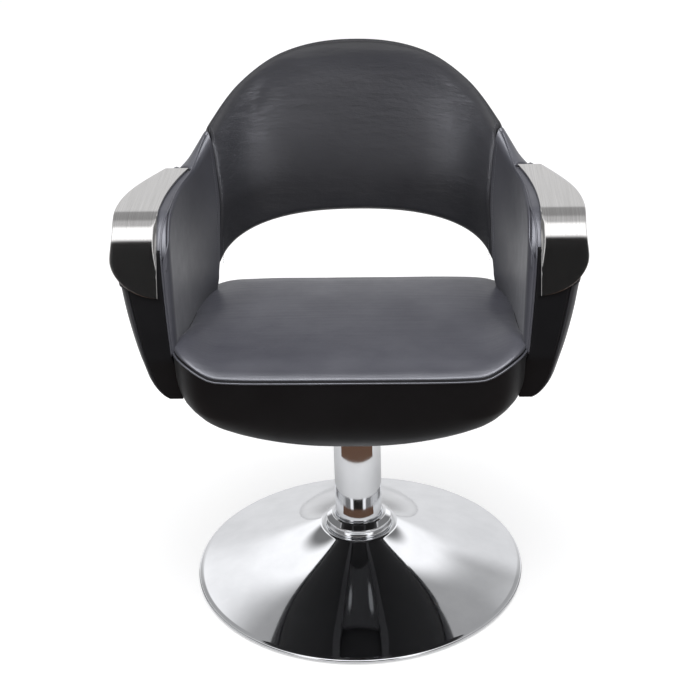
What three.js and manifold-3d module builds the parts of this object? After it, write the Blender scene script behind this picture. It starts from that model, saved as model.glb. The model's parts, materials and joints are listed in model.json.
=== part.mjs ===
// Styling chair: an upholstered tub seat on a hydraulic column and a round chrome base.
// Millimetres, +Z up. The origin is on the floor, on the axis of the column. +Y is the
// back of the chair and +X is its left-hand side when the sitter faces -Y.

import * as THREE from "three";
import { mergeVertices } from "three/addons/utils/BufferGeometryUtils.js";
import Module from "manifold-3d";

const wasm = await Module();
wasm.setup();

// ---------------------------------------------------------------- driving dimensions
const GAP = 0.3; // clearance between touching pieces
const ROUND = 40; // facets on a large turned piece
const ROUND_SMALL = 20; // facets on a small turned piece

// Base
const BASE_RADIUS = 280;
const BASE_LIP = 7; // height of the rim above the floor
const BOSS_RADIUS = 64; // flat boss in the middle of the dome
const BOSS_HEIGHT = 91;
const SHEET = 2.5; // thickness of the spun steel dome
const DOME_FLARE = 0.27; // share of the dome's rise that gathers steeply near the boss
const BALLAST_RADIUS = 225;

// Column and hydraulic pump
const COLUMN_RADIUS = 39.5;
const COLUMN_WALL = 2.5;
const COLUMN_TOP = 285;
const COLLAR_RADIUS = 57;
const COLLAR_TOP = 112;
const CYLINDER_RADIUS = 25;
const CYLINDER_WALL = 4;
const ROD_RADIUS = 14;
const LIFT_TRAVEL = 130;
const PISTON_BOTTOM = 60;
const PISTON_HEIGHT = 28;
const GUIDE_LENGTH = 44; // cylinder left above the raised piston, for the guide and the seal
const CYLINDER_TOP = PISTON_BOTTOM + PISTON_HEIGHT + LIFT_TRAVEL + GUIDE_LENGTH;

// Foot lever and plunger, behind the column
const LEVER_WIDTH = 16;
const LEVER_DEPTH = 9;
const PIN_Y = 62;
const PIN_Z = 132;
const PIN_RADIUS = 4;
const PLUNGER_Y = 31;
const PLUNGER_RADIUS = 3.6;
const PEDAL_Y = 279; // outer end of the pedal
const SPRING_BOTTOM = 150;
const SPRING_TOP = 178;

// Seat mounting
const HUB_BOTTOM = 288;
const PLATE_TOP = 351;
const PLATE_THICKNESS = 5;
const PLATE_SIZE = 190;
const BOLT_PITCH = 73; // half the spacing of the plate bolts along Y
const BOLT_SPREAD = 36; // half the spacing along X

// Seat
const SEAT_BOTTOM = 356;
const SEAT_FRONT_TOP = 495;
const SEAT_HALF_WIDTH = 256;
const SEAT_HALF_DEPTH = 228;
const SEAT_CENTRE_Y = -22;
const SEAT_SLOPE = 0.085; // fall towards the back
const SEAT_SIDE_RISE = 24; // the front corners rise towards the arms
const FRONT_CORNER = 6; // superellipse power of the plan, in front and behind
const REAR_CORNER = 3.6;
const SHELL_WALL = 11;
const CUSHION_DEPTH = 46;
const CUSHION_CROWN = 7;

// Tub wall: polar surfaces about an axis in front of the back, from the inner face (0)
// to the outer face (1)
const TUB_CENTRE_Y = -70;
const INNER_HALF_WIDTH = 262; // at the height of the seat's front
const INNER_DEPTH = 285; // from the axis back to the inner face, at the same height
const OUTER_DEPTH = 318; // from the axis back to the outer face, at its foot
const TUB_BOTTOM = 432; // under the arms
const TUB_BOTTOM_REAR = 392;
const OUTER_HALF_WIDTH = 360; // at arm height
const OUTER_TAPER = 62; // narrowing of the outside towards the bottom
const WAIST = 0.035; // hollow in the outside behind the armrest
const ARM_TOP = 696;
const APEX = 861; // top of the back
const FRONT_ANGLE = 101; // nominal degrees round from the back to the arm's front edge
const FRONT_Y = -126; // the arm's front edge at its top, leaning forwards as it goes down
const FRONT_LEAN = 0.316;
const ARM_NOSE = 36; // radius of the arm's top front corner
const SEAM_ANGLE = 45.3; // vertical seams between the back and the arms
const SHOULDER_ANGLE = 57; // where the armrest starts
const SEAM_LEAN = 3.2; // degrees that the seams stand in above the opening
const OPENING_TOP = 569;
const OPENING_SIDE = 478; // height where the opening's upper curve meets its sides
const OPENING_BOTTOM = 440;
const OPENING_CORNER = 12; // rise of the lower edge into the corners
const ARMREST_DEPTH = 92; // height of the block under the armrest cap
const SEAM_GAP = 0.12; // degrees between neighbouring panels, about 0.6 mm
const LAYER_GAP = 0.05; // gap between layers as a share of the wall

// Armrest
const CAP_THICKNESS = 3;
const CAP_TOP = 700;
const CAP_FRONT_END = 590; // lowest point of the cap's front face
const CAP_BEND = 42;
const CAP_REAR = 100;
const CAP_TIP = 48; // rounding of the face's outer lower corner
const CAP_FLARE = 6; // widening of the cap at the top of its face
const CAP_INNER_INSET = 0.21; // share of the wall left bare on the inner side
const STUD_PLACES = [-60, 60]; // along Y
const STUD_RADIUS = 3;
const STUD_BOTTOM = 676;

// ---------------------------------------------------------------- materials
const LOOKS = {
  chrome: { color: 0xdfe2e6, roughness: 0.06, metalness: 1 },
  brushedSteel: { color: 0xc9c7c4, roughness: 0.32, metalness: 1 },
  steel: { color: 0x9a9da1, roughness: 0.4, metalness: 1 },
  castIron: { color: 0x3a3b3d, roughness: 0.8, metalness: 0.6 },
  rubber: { color: 0x141416, roughness: 0.85, metalness: 0 },
  bronze: { color: 0xa8793c, roughness: 0.4, metalness: 1 },
  plywood: { color: 0xb58a58, roughness: 0.75, metalness: 0 },
  paintedSteel: { color: 0x1a1a1c, roughness: 0.5, metalness: 0.3 },
  vinyl: { color: 0x1b1b1f, roughness: 0.38, metalness: 0 },
};

const chair = new THREE.Group();

function add(name, geometry, look) {
  const mesh = new THREE.Mesh(geometry, new THREE.MeshStandardMaterial(LOOKS[look]));
  mesh.name = name;
  chair.add(mesh);
}

// ---------------------------------------------------------------- geometry helpers
function signedVolume(positions, index) {
  let sum = 0;
  for (let i = 0; i < index.length; i += 3) {
    const [a, b, c] = [0, 1, 2].map((k) => new THREE.Vector3().fromArray(positions, index[i + k] * 3));
    sum += a.dot(b.cross(c));
  }
  return sum / 6;
}

// Welds a geometry and turns its faces outwards.
function weld(geometry) {
  const plain = geometry.index ? geometry.clone() : mergeVertices(geometry);
  plain.deleteAttribute("normal");
  plain.deleteAttribute("uv");
  const merged = mergeVertices(plain, 1e-4);
  const source = merged.index.array;
  const positions = merged.attributes.position.array;
  const index = [];
  for (let i = 0; i < source.length; i += 3) {
    const [a, b, c] = source.slice(i, i + 3);
    if (a !== b && b !== c && a !== c) index.push(a, b, c);
  }
  if (signedVolume(positions, index) < 0) {
    for (let i = 0; i < index.length; i += 3) {
      [index[i], index[i + 1]] = [index[i + 1], index[i]];
    }
  }
  const solid = new THREE.BufferGeometry();
  solid.setAttribute("position", new THREE.BufferAttribute(new Float32Array(positions), 3));
  solid.setIndex(index);
  return solid;
}

function toManifold(geometry) {
  const solid = weld(geometry);
  const vertProperties = solid.attributes.position.array;
  const triVerts = new Uint32Array(solid.index.array);
  return new wasm.Manifold(new wasm.Mesh({ numProp: 3, vertProperties, triVerts }));
}

function fromManifold(manifold) {
  const mesh = manifold.getMesh();
  const geometry = new THREE.BufferGeometry();
  geometry.setAttribute("position", new THREE.BufferAttribute(new Float32Array(mesh.vertProperties), 3));
  geometry.setIndex([...mesh.triVerts]);
  return geometry;
}

function cut(geometry, ...tools) {
  let body = toManifold(geometry);
  for (const tool of tools) body = body.subtract(toManifold(tool));
  return fromManifold(body);
}

function join(geometry, ...others) {
  let body = toManifold(geometry);
  for (const other of others) body = body.add(toManifold(other));
  return fromManifold(body);
}

// Turns a profile of [radius, height] points about Z. Start and end on the axis, or close it.
function turned(profile, facets = ROUND) {
  const points = profile.map(([r, z]) => new THREE.Vector2(r, z));
  return weld(new THREE.LatheGeometry(points, facets).rotateX(Math.PI / 2));
}

function disc(radius, z0, z1, facets = ROUND) {
  return turned([[0, z0], [radius, z0], [radius, z1], [0, z1]], facets);
}

function ring(inner, outer, z0, z1, facets = ROUND) {
  return turned([[inner, z0], [outer, z0], [outer, z1], [inner, z1], [inner, z0]], facets);
}

function block(centre, size) {
  return weld(new THREE.BoxGeometry(...size).translate(...centre));
}

// A bar of round section along X.
function crossPin(radius, length, y, z) {
  const pin = new THREE.CylinderGeometry(radius, radius, length, ROUND_SMALL);
  return weld(pin.rotateZ(Math.PI / 2).translate(0, y, z));
}

// An outline in the YZ plane, extruded along X and centred on x.
function sidePlate(outline, thickness, x = 0) {
  const shape = new THREE.Shape(outline.map(([y, z]) => new THREE.Vector2(y, z)));
  const plate = new THREE.ExtrudeGeometry(shape, { depth: thickness, bevelEnabled: false });
  const upright = new THREE.Matrix4().set(0, 0, 1, x - thickness / 2, 1, 0, 0, 0, 0, 1, 0, 0, 0, 0, 0, 1);
  return weld(plate.applyMatrix4(upright));
}

// A closed solid through rings of equal length, flat at both ends.
function loft(rings) {
  const count = rings[0].length;
  const positions = rings.flat().flatMap((p) => [p.x, p.y, p.z]);
  const index = [];
  for (let level = 0; level + 1 < rings.length; level += 1) {
    for (let i = 0; i < count; i += 1) {
      const a = level * count + i;
      const b = level * count + ((i + 1) % count);
      index.push(a, b, b + count, a, b + count, a + count);
    }
  }
  for (const [level, order] of [[0, [0, 2, 1]], [rings.length - 1, [0, 1, 2]]]) {
    const middle = rings[level].reduce((sum, p) => sum.add(p), new THREE.Vector3()).divideScalar(count);
    const centre = positions.length / 3;
    positions.push(middle.x, middle.y, middle.z);
    for (let i = 0; i < count; i += 1) {
      const fan = [centre, level * count + i, level * count + ((i + 1) % count)];
      index.push(...order.map((k) => fan[k]));
    }
  }
  const geometry = new THREE.BufferGeometry();
  geometry.setAttribute("position", new THREE.BufferAttribute(new Float32Array(positions), 3));
  geometry.setIndex(index);
  return weld(geometry);
}

// A smooth function of x through a few [x, y] points, level at both ends.
function smoothThrough(points) {
  const slope = (i) => {
    if (i === 0 || i === points.length - 1) return 0;
    return (points[i + 1][1] - points[i - 1][1]) / (points[i + 1][0] - points[i - 1][0]);
  };
  return (x) => {
    if (x <= points[0][0]) return points[0][1];
    if (x >= points.at(-1)[0]) return points.at(-1)[1];
    const i = points.findIndex((p, k) => x < points[k + 1][0]);
    const width = points[i + 1][0] - points[i][0];
    const s = (x - points[i][0]) / width;
    const rise = s * s * (3 - 2 * s);
    const start = slope(i) * width * s * (1 - s) * (1 - s);
    const end = slope(i + 1) * width * s * s * (s - 1);
    return points[i][1] + (points[i + 1][1] - points[i][1]) * rise + start + end;
  };
}

const lerp = THREE.MathUtils.lerp;
const clamp = THREE.MathUtils.clamp;
const radians = THREE.MathUtils.degToRad;
const smoothstep = THREE.MathUtils.smoothstep;

// ---------------------------------------------------------------- base
function domeHeight(radius) {
  const inward = (BASE_RADIUS - radius) / (BASE_RADIUS - BOSS_RADIUS);
  return lerp(BASE_LIP, BOSS_HEIGHT, lerp(inward, inward ** 4, DOME_FLARE));
}

function domeGeometry() {
  const radii = [0, 0.07, 0.16, 0.28, 0.45, 0.7].map((share) => lerp(BOSS_RADIUS, BASE_RADIUS, share));
  const outer = radii.map((radius) => [radius, domeHeight(radius)]);
  const inner = outer.map(([radius, z]) => [radius, z - SHEET]).reverse();
  const hole = COLUMN_RADIUS + GAP;
  return turned([
    [hole, BOSS_HEIGHT], ...outer, [BASE_RADIUS, BASE_LIP],
    [BASE_RADIUS, 2], [BASE_RADIUS - SHEET, 2], [BASE_RADIUS - SHEET, BASE_LIP - 1.5],
    ...inner, [hole, BOSS_HEIGHT - SHEET],
    [hole, BOSS_HEIGHT],
  ]);
}

function addBase() {
  add("base_dome", domeGeometry(), "chrome");
  const ringTop = BASE_LIP - 3;
  const ringOuter = BASE_RADIUS - SHEET - GAP;
  add("floor_ring", ring(ringOuter - 22, ringOuter, 0, ringTop), "rubber");
  const ballast = turned([
    [CYLINDER_RADIUS + 16, 6], [BALLAST_RADIUS, 6], [BALLAST_RADIUS, 16],
    [COLUMN_RADIUS + 30, 22], [CYLINDER_RADIUS + 16, 22], [CYLINDER_RADIUS + 16, 6],
  ]);
  add("ballast_plate", ballast, "castIron");
  const flange = turned([
    [0, 22 + GAP], [74, 22 + GAP], [74, 32], [COLUMN_RADIUS + 5, 32], [COLUMN_RADIUS + 5, 36],
    [COLUMN_RADIUS - COLUMN_WALL - GAP, 36], [COLUMN_RADIUS - COLUMN_WALL - GAP, 44], [0, 44],
  ]);
  add("pump_flange", flange, "castIron");
  for (let i = 0; i < 4; i += 1) {
    const angle = radians(45 + 90 * i);
    const bolt = turned([[0, 32 + GAP], [8, 32 + GAP], [8, 38], [6.5, 40], [0, 40]], 6);
    const radius = 60;
    bolt.translate(radius * Math.cos(angle), radius * Math.sin(angle), 0);
    add(`flange_bolt_${i + 1}`, bolt, "steel");
  }
  const collar = COLUMN_RADIUS + GAP;
  const lower = turned([
    [collar, BOSS_HEIGHT + GAP], [COLLAR_RADIUS, BOSS_HEIGHT + GAP], [COLLAR_RADIUS, 97],
    [COLLAR_RADIUS - 3, 100], [collar, 100], [collar, BOSS_HEIGHT + GAP],
  ]);
  add("lower_collar", lower, "chrome");
  const upper = turned([
    [collar, 100 + GAP], [COLLAR_RADIUS - 2, 100 + GAP], [COLLAR_RADIUS - 2, 105],
    [COLUMN_RADIUS + 4, COLLAR_TOP], [collar, COLLAR_TOP], [collar, 100 + GAP],
  ]);
  add("upper_collar", upper, "chrome");
}

// ---------------------------------------------------------------- column and pump
function addColumn() {
  const inner = COLUMN_RADIUS - COLUMN_WALL;
  const tube = ring(inner, COLUMN_RADIUS, 36 + GAP, COLUMN_TOP);
  const slot = block([0, COLUMN_RADIUS, PIN_Z], [LEVER_WIDTH + 8, 30, 34]);
  add("column_tube", cut(tube, slot), "chrome");

  const bore = CYLINDER_RADIUS - CYLINDER_WALL;
  const cylinder = turned([
    [0, 44 + GAP], [CYLINDER_RADIUS, 44 + GAP], [CYLINDER_RADIUS, CYLINDER_TOP], [bore, CYLINDER_TOP],
    [bore, 52], [0, 52],
  ], 32);
  add("pump_cylinder", cylinder, "steel");
  add("guide_bush", ring(ROD_RADIUS + 0.05, bore - GAP, CYLINDER_TOP - 26, CYLINDER_TOP - 8, 32), "bronze");
  add("rod_seal", ring(ROD_RADIUS + 0.2, bore - GAP, CYLINDER_TOP - 8 + GAP, CYLINDER_TOP - 1, 32), "rubber");
  const nut = turned([
    [ROD_RADIUS + 1, CYLINDER_TOP + GAP], [CYLINDER_RADIUS + 4, CYLINDER_TOP + GAP],
    [CYLINDER_RADIUS + 4, CYLINDER_TOP + 11], [ROD_RADIUS + 5, CYLINDER_TOP + 15],
    [ROD_RADIUS + 1, CYLINDER_TOP + 15], [ROD_RADIUS + 1, CYLINDER_TOP + GAP],
  ], 32);
  add("gland_nut", nut, "steel");

  // The plunger's barrel hangs beside the cylinder, above the lever's inner end.
  const barrel = ring(PLUNGER_RADIUS + 0.1, 5.4, SPRING_TOP + GAP, SPRING_TOP + 34, ROUND_SMALL);
  add("plunger_barrel", barrel.translate(0, PLUNGER_Y, 0), "steel");
}

function addLift() {
  const bore = CYLINDER_RADIUS - CYLINDER_WALL;
  const top = PISTON_BOTTOM + PISTON_HEIGHT;
  const groove = top - 12;
  const piston = turned([
    [0, PISTON_BOTTOM], [bore - 0.5, PISTON_BOTTOM], [bore - 0.5, groove], [bore - 4, groove],
    [bore - 4, groove + 6], [bore - 0.5, groove + 6], [bore - 0.5, top], [0, top],
  ], 32);
  add("piston", piston, "steel");
  add("piston_ring", ring(bore - 4 + GAP, bore - 0.2, groove + GAP, groove + 6 - GAP, 32), "rubber");
  add("piston_rod", disc(ROD_RADIUS, top + GAP, HUB_BOTTOM + 36, 32), "chrome");
}

// ---------------------------------------------------------------- foot lever
function addLever() {
  const half = LEVER_DEPTH / 2;
  const bracketX = LEVER_WIDTH / 2 + 3;
  const [shelf, foot] = [COLLAR_TOP + GAP, BOSS_HEIGHT + GAP];
  const heel = COLLAR_RADIUS + 1.5;
  for (const [side, sign] of [["left", 1], ["right", -1]]) {
    const ear = sidePlate([
      [COLUMN_RADIUS + 2, shelf], [heel, shelf], [heel, foot], [BOSS_RADIUS, foot], [PIN_Y + 9, foot + 12],
      [PIN_Y + 9, PIN_Z + 4], [PIN_Y + 4, PIN_Z + 9], [PIN_Y - 6, PIN_Z + 9], [COLUMN_RADIUS + 2, PIN_Z + 3],
    ], 4, sign * bracketX);
    const eye = crossPin(PIN_RADIUS + 0.1, 60, PIN_Y, PIN_Z);
    add(`lever_ear_${side}`, cut(ear, eye), "steel");
  }
  add("lever_pin", crossPin(PIN_RADIUS, 2 * bracketX + 8, PIN_Y, PIN_Z), "steel");

  const root = PLUNGER_Y - 5;
  const lever = sidePlate([
    [root, PIN_Z - half], [PIN_Y, PIN_Z - half - 3], [150, PIN_Z - 2], [226, PIN_Z - 16],
    [PEDAL_Y - 6, PIN_Z - 16], [PEDAL_Y - 6, PIN_Z - 16 + LEVER_DEPTH - 2], [228, PIN_Z - 16 + LEVER_DEPTH],
    [150, PIN_Z - 2 + LEVER_DEPTH], [PIN_Y, PIN_Z + half + 3], [root, PIN_Z + half],
  ], LEVER_WIDTH);
  add("foot_lever", cut(lever, crossPin(PIN_RADIUS + 0.1, 60, PIN_Y, PIN_Z)), "chrome");

  const pedal = new THREE.Shape();
  const [wide, deep] = [LEVER_WIDTH / 2 + 5, 22];
  pedal.moveTo(-wide + 4, -deep);
  pedal.lineTo(wide - 4, -deep);
  pedal.absarc(wide - 4, -deep + 4, 4, -Math.PI / 2, 0, false);
  pedal.lineTo(wide, deep - 10);
  pedal.absarc(wide - 10, deep - 10, 10, 0, Math.PI / 2, false);
  pedal.lineTo(-wide + 10, deep);
  pedal.absarc(-wide + 10, deep - 10, 10, Math.PI / 2, Math.PI, false);
  pedal.lineTo(-wide, -deep + 4);
  pedal.absarc(-wide + 4, -deep + 4, 4, Math.PI, Math.PI * 1.5, false);
  const pad = new THREE.ExtrudeGeometry(pedal, { depth: 6, bevelEnabled: false, curveSegments: 5 });
  pad.translate(0, PEDAL_Y - deep, PIN_Z - 16 + LEVER_DEPTH + GAP);
  add("pedal_pad", weld(pad), "rubber");
}

function addPlunger() {
  const foot = PIN_Z + LEVER_DEPTH / 2 + 1.5;
  const plunger = turned([
    [0, foot], [4, foot + 1], [6, foot + 4], [6, SPRING_BOTTOM - GAP], [PLUNGER_RADIUS, SPRING_BOTTOM - GAP],
    [PLUNGER_RADIUS, SPRING_TOP + 22], [0, SPRING_TOP + 22],
  ], ROUND_SMALL);
  add("pump_plunger", plunger.translate(0, PLUNGER_Y, 0), "steel");

  const wire = 0.7;
  const coilRadius = PLUNGER_RADIUS + 0.4 + wire;
  const turns = 5;
  class Helix extends THREE.Curve {
    getPoint(t, target = new THREE.Vector3()) {
      const angle = t * turns * 2 * Math.PI;
      const z = lerp(SPRING_BOTTOM + wire, SPRING_TOP - wire, t);
      return target.set(coilRadius * Math.cos(angle), PLUNGER_Y + coilRadius * Math.sin(angle), z);
    }
  }
  const section = new THREE.Shape().absarc(0, 0, wire, 0, 2 * Math.PI);
  const spring = new THREE.ExtrudeGeometry(section, {
    steps: turns * 8, curveSegments: 3, bevelEnabled: false, extrudePath: new Helix(),
  });
  add("plunger_spring", weld(spring), "steel");
}

// ---------------------------------------------------------------- swivel hub and plate
function addSeatMount() {
  const socket = ROD_RADIUS + GAP;
  const plateBottom = PLATE_TOP - PLATE_THICKNESS;
  const hub = turned([
    [socket, HUB_BOTTOM], [COLUMN_RADIUS - 1, HUB_BOTTOM], [COLUMN_RADIUS - 1, HUB_BOTTOM + 14],
    [COLUMN_RADIUS + 6, HUB_BOTTOM + 30], [COLUMN_RADIUS + 26, plateBottom - 6],
    [COLUMN_RADIUS + 30, plateBottom - GAP], [socket, plateBottom - GAP], [socket, HUB_BOTTOM],
  ]);
  add("swivel_hub", hub, "paintedSteel");
  add("thrust_bearing", ring(ROD_RADIUS + 3, CYLINDER_RADIUS + 6, CYLINDER_TOP + 16, HUB_BOTTOM - GAP, 32), "bronze");

  // Pressed plate with its two side edges folded down over the hub. In front it opens into two
  // bowed rails that end in a cross foot under the seat.
  const half = PLATE_SIZE / 2;
  const flangeX = BOLT_SPREAD + 22;
  const footX = flangeX + 50;
  const frontY = -half - 76;
  const outline = new THREE.Shape();
  outline.moveTo(flangeX, half);
  outline.lineTo(-flangeX, half);
  outline.lineTo(-flangeX, -30);
  outline.quadraticCurveTo(-flangeX - 34, -90, -flangeX - 16, frontY + 20);
  outline.lineTo(-footX, frontY + 16);
  outline.lineTo(-footX, frontY);
  outline.lineTo(footX, frontY);
  outline.lineTo(footX, frontY + 16);
  outline.lineTo(flangeX + 16, frontY + 20);
  outline.quadraticCurveTo(flangeX + 34, -90, flangeX, -30);
  const gapBetween = new THREE.Path();
  gapBetween.moveTo(-flangeX + 2, -half);
  gapBetween.quadraticCurveTo(-flangeX - 6, -half - 30, -flangeX + 2, frontY + 16);
  gapBetween.lineTo(flangeX - 2, frontY + 16);
  gapBetween.quadraticCurveTo(flangeX + 6, -half - 30, flangeX - 2, -half);
  outline.holes.push(gapBetween);
  const sheet = new THREE.ExtrudeGeometry(outline, { depth: PLATE_THICKNESS, bevelEnabled: false, curveSegments: 6 });
  const plate = join(
    weld(sheet.translate(0, 0, plateBottom)),
    ...[-1, 1].map((sign) => block([sign * (flangeX - 2), 0, PLATE_TOP - 12], [4, PLATE_SIZE, 20])),
  );
  const corners = [-1, 1].flatMap((sx) => [-1, 1].map((sy) => [sx * BOLT_SPREAD, sy * BOLT_PITCH]));
  const holes = corners.map(([x, y]) => disc(4.5, PLATE_TOP - 9, PLATE_TOP + 9, 16).translate(x, y, 0));
  const hubWindow = block([0, 0, plateBottom - 10], [2 * half, 2 * COLUMN_RADIUS + 64, 20]);
  add("mount_plate", cut(cut(plate, hubWindow), ...holes), "paintedSteel");
  corners.forEach(([x, y], i) => {
    const low = plateBottom - GAP;
    const bolt = turned([
      [0, low - 5.5], [7.5, low - 5.5], [7.5, low], [4, low], [4, PLATE_TOP + 4], [0, PLATE_TOP + 4],
    ], 12);
    add(`plate_bolt_${i + 1}`, bolt.translate(x, y, 0), "steel");
  });
}

// ---------------------------------------------------------------- seat
// Height of the seam between shell and cushion.
function seatRim(y, x) {
  const side = smoothstep(Math.abs(x), SEAT_HALF_WIDTH - 60, SEAT_HALF_WIDTH) * smoothstep(-y, -20, 170);
  return SEAT_FRONT_TOP - (y - (SEAT_CENTRE_Y - SEAT_HALF_DEPTH)) * SEAT_SLOPE + SEAT_SIDE_RISE * side;
}

// Plan of the seat at a share of its height, moved in by an inset: a superellipse whose
// width grows quickly and whose depth is nearly full from the bottom.
function seatRing(share, inset, zAt, count = 36) {
  const grow = 1 - (1 - share) ** 4;
  const halfX = SEAT_HALF_WIDTH * grow ** (1 / 1.65) - inset;
  const halfY = SEAT_HALF_DEPTH * grow ** (1 / 6.5) - inset;
  return Array.from({ length: count }, (_, i) => {
    const angle = (i / count) * 2 * Math.PI;
    const [c, s] = [Math.cos(angle), Math.sin(angle)];
    const power = s > 0 ? REAR_CORNER : lerp(3, FRONT_CORNER, clamp(share * 2, 0, 1));
    const x = halfX * Math.sign(c) * Math.abs(c) ** (2 / power);
    const y = SEAT_CENTRE_Y + halfY * Math.sign(s) * Math.abs(s) ** (2 / power);
    return new THREE.Vector3(x, y, zAt(y, x));
  });
}

function addSeat() {
  const level = (share) => (y, x) => lerp(SEAT_BOTTOM, seatRim(y, x), share);
  const shares = [0.02, 0.06, 0.12, 0.2, 0.32, 0.55, 1];
  const outside = loft(shares.map((share) => seatRing(share, 0, level(share))));
  const floorZ = (share) => (y, x) => lerp(SEAT_BOTTOM + SHELL_WALL, seatRim(y, x), share);
  const insideShares = [0.1, 0.25, 0.5, 0.75, 1.1];
  const inside = loft(insideShares.map((share) => seatRing(Math.min(share, 1), SHELL_WALL, floorZ(share))));
  const bores = [-1, 1].flatMap((sx) => [-1, 1].map((sy) => (
    disc(4.6, SEAT_BOTTOM - 10, PLATE_TOP + 4.6, 12).translate(sx * BOLT_SPREAD, sy * BOLT_PITCH, 0))));
  add("seat_shell", cut(outside, inside, ...bores), "vinyl");

  // Board that closes the shell and carries the cushion.
  const inset = SHELL_WALL + 1;
  const boardTop = (y) => seatRim(y, 0) - CUSHION_DEPTH - GAP;
  const board = loft([
    seatRing(0.2, inset, (y) => boardTop(y) - 12),
    seatRing(0.34, inset, boardTop),
  ]);
  add("seat_board", board, "plywood");

  const cushionRing = (share, extra, lift) => (
    seatRing(share, inset + extra, (y, x) => seatRim(y, x) - CUSHION_DEPTH + lift));
  const cushion = loft([
    cushionRing(0.42, 0, 0), cushionRing(0.6, 0, CUSHION_DEPTH * 0.45),
    cushionRing(1, 1, CUSHION_DEPTH - 8), cushionRing(1, 8, CUSHION_DEPTH),
    cushionRing(1, 50, CUSHION_DEPTH + CUSHION_CROWN * 0.6),
    cushionRing(1, 120, CUSHION_DEPTH + CUSHION_CROWN),
  ]);
  add("seat_cushion", cushion, "vinyl");
}

// ---------------------------------------------------------------- tub wall
const rimHeight = smoothThrough([
  [0, APEX], [20, 837], [33, 795], [45, 735], [54, 704], [SHOULDER_ANGLE + 5, ARM_TOP],
]);

// Y of the arm's front edge at a height.
function frontEdge(z) {
  return FRONT_Y - FRONT_LEAN * clamp(ARM_TOP - z, 0, ARM_TOP - SEAT_FRONT_TOP);
}

// Top of the wall at an angle, with the arm's top front corner rounded off.
function wallTop(angle) {
  const nose = radians(FRONT_ANGLE - Math.abs(angle)) * 300;
  const drop = nose < ARM_NOSE ? ARM_NOSE - Math.sqrt(ARM_NOSE ** 2 - (ARM_NOSE - nose) ** 2) : 0;
  return rimHeight(Math.abs(angle)) - drop;
}

function superellipse(angle, halfX, halfY, power) {
  const across = Math.abs(Math.sin(angle) / halfX) ** power;
  const along = Math.abs(Math.cos(angle) / halfY) ** power;
  return (across + along) ** (-1 / power);
}

// Degrees by which the wall's panels are drawn in towards the back at a height: most above the
// opening, and fading out to both sides of the seams.
function seamLean(angle, z) {
  const amount = SEAM_LEAN * (1 - smoothstep(z, 600, 735)) * lerp(0.4, 1, smoothstep(z, 450, 530));
  return Math.sign(angle) * amount * Math.exp(-(((Math.abs(angle) - SEAM_ANGLE) / 18) ** 2));
}

// A point of the wall: angle in degrees from the back, height, and depth from inner face (0)
// to outer face (1). Angles are nominal: they are stretched so that the front angle lands on
// the arm's flat front.
function wallPoint(angle, z, depth) {
  const fall = clamp((720 - z) / 290, 0, 2);
  const outerX = OUTER_HALF_WIDTH - 6 * clamp((z - 640) / 60, 0, 1) - OUTER_TAPER * fall ** 1.9;
  const outerY = OUTER_DEPTH + 37 * Math.sin(clamp((z - 400) / 463, 0, 1) * Math.PI / 2);
  const outerPower = 3 - 0.9 * clamp((z - 450) / 250, 0, 1);
  const innerX = INNER_HALF_WIDTH + 6 * clamp((z - 500) / 200, -1, 1);
  const innerY = INNER_DEPTH + 32 * (z - 500) / 350;
  const innerPower = lerp(4.2, 3.2, clamp((z - 440) / 50, 0, 1));
  const waist = 1 - WAIST * Math.exp(-(((Math.abs(angle) - 64) / 16) ** 2));
  const radiusAt = (turn) => lerp(
    superellipse(turn, innerX, innerY, innerPower),
    superellipse(turn, outerX, outerY, outerPower) * waist, depth);
  let last = radians(FRONT_ANGLE);
  for (let i = 0; i < 6; i += 1) last = Math.acos((frontEdge(z) - TUB_CENTRE_Y) / radiusAt(last));
  const turn = ((angle - seamLean(angle, z)) / FRONT_ANGLE) * last;
  const radius = radiusAt(turn);
  return new THREE.Vector3(radius * Math.sin(turn), TUB_CENTRE_Y + radius * Math.cos(turn), z);
}

// X of a line at constant depth in the wall, at arm height.
function wallX(y, depth, sign) {
  let [low, high] = [SHOULDER_ANGLE - 12, FRONT_ANGLE];
  for (let i = 0; i < 30; i += 1) {
    const middle = (low + high) / 2;
    if (wallPoint(middle, ARM_TOP, depth).y > y) low = middle;
    else high = middle;
  }
  return sign * wallPoint(low, ARM_TOP, depth).x;
}

function studX(y, sign) {
  return (wallX(y, CAP_INNER_INSET, sign) + wallX(y, 1, sign)) / 2;
}

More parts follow.
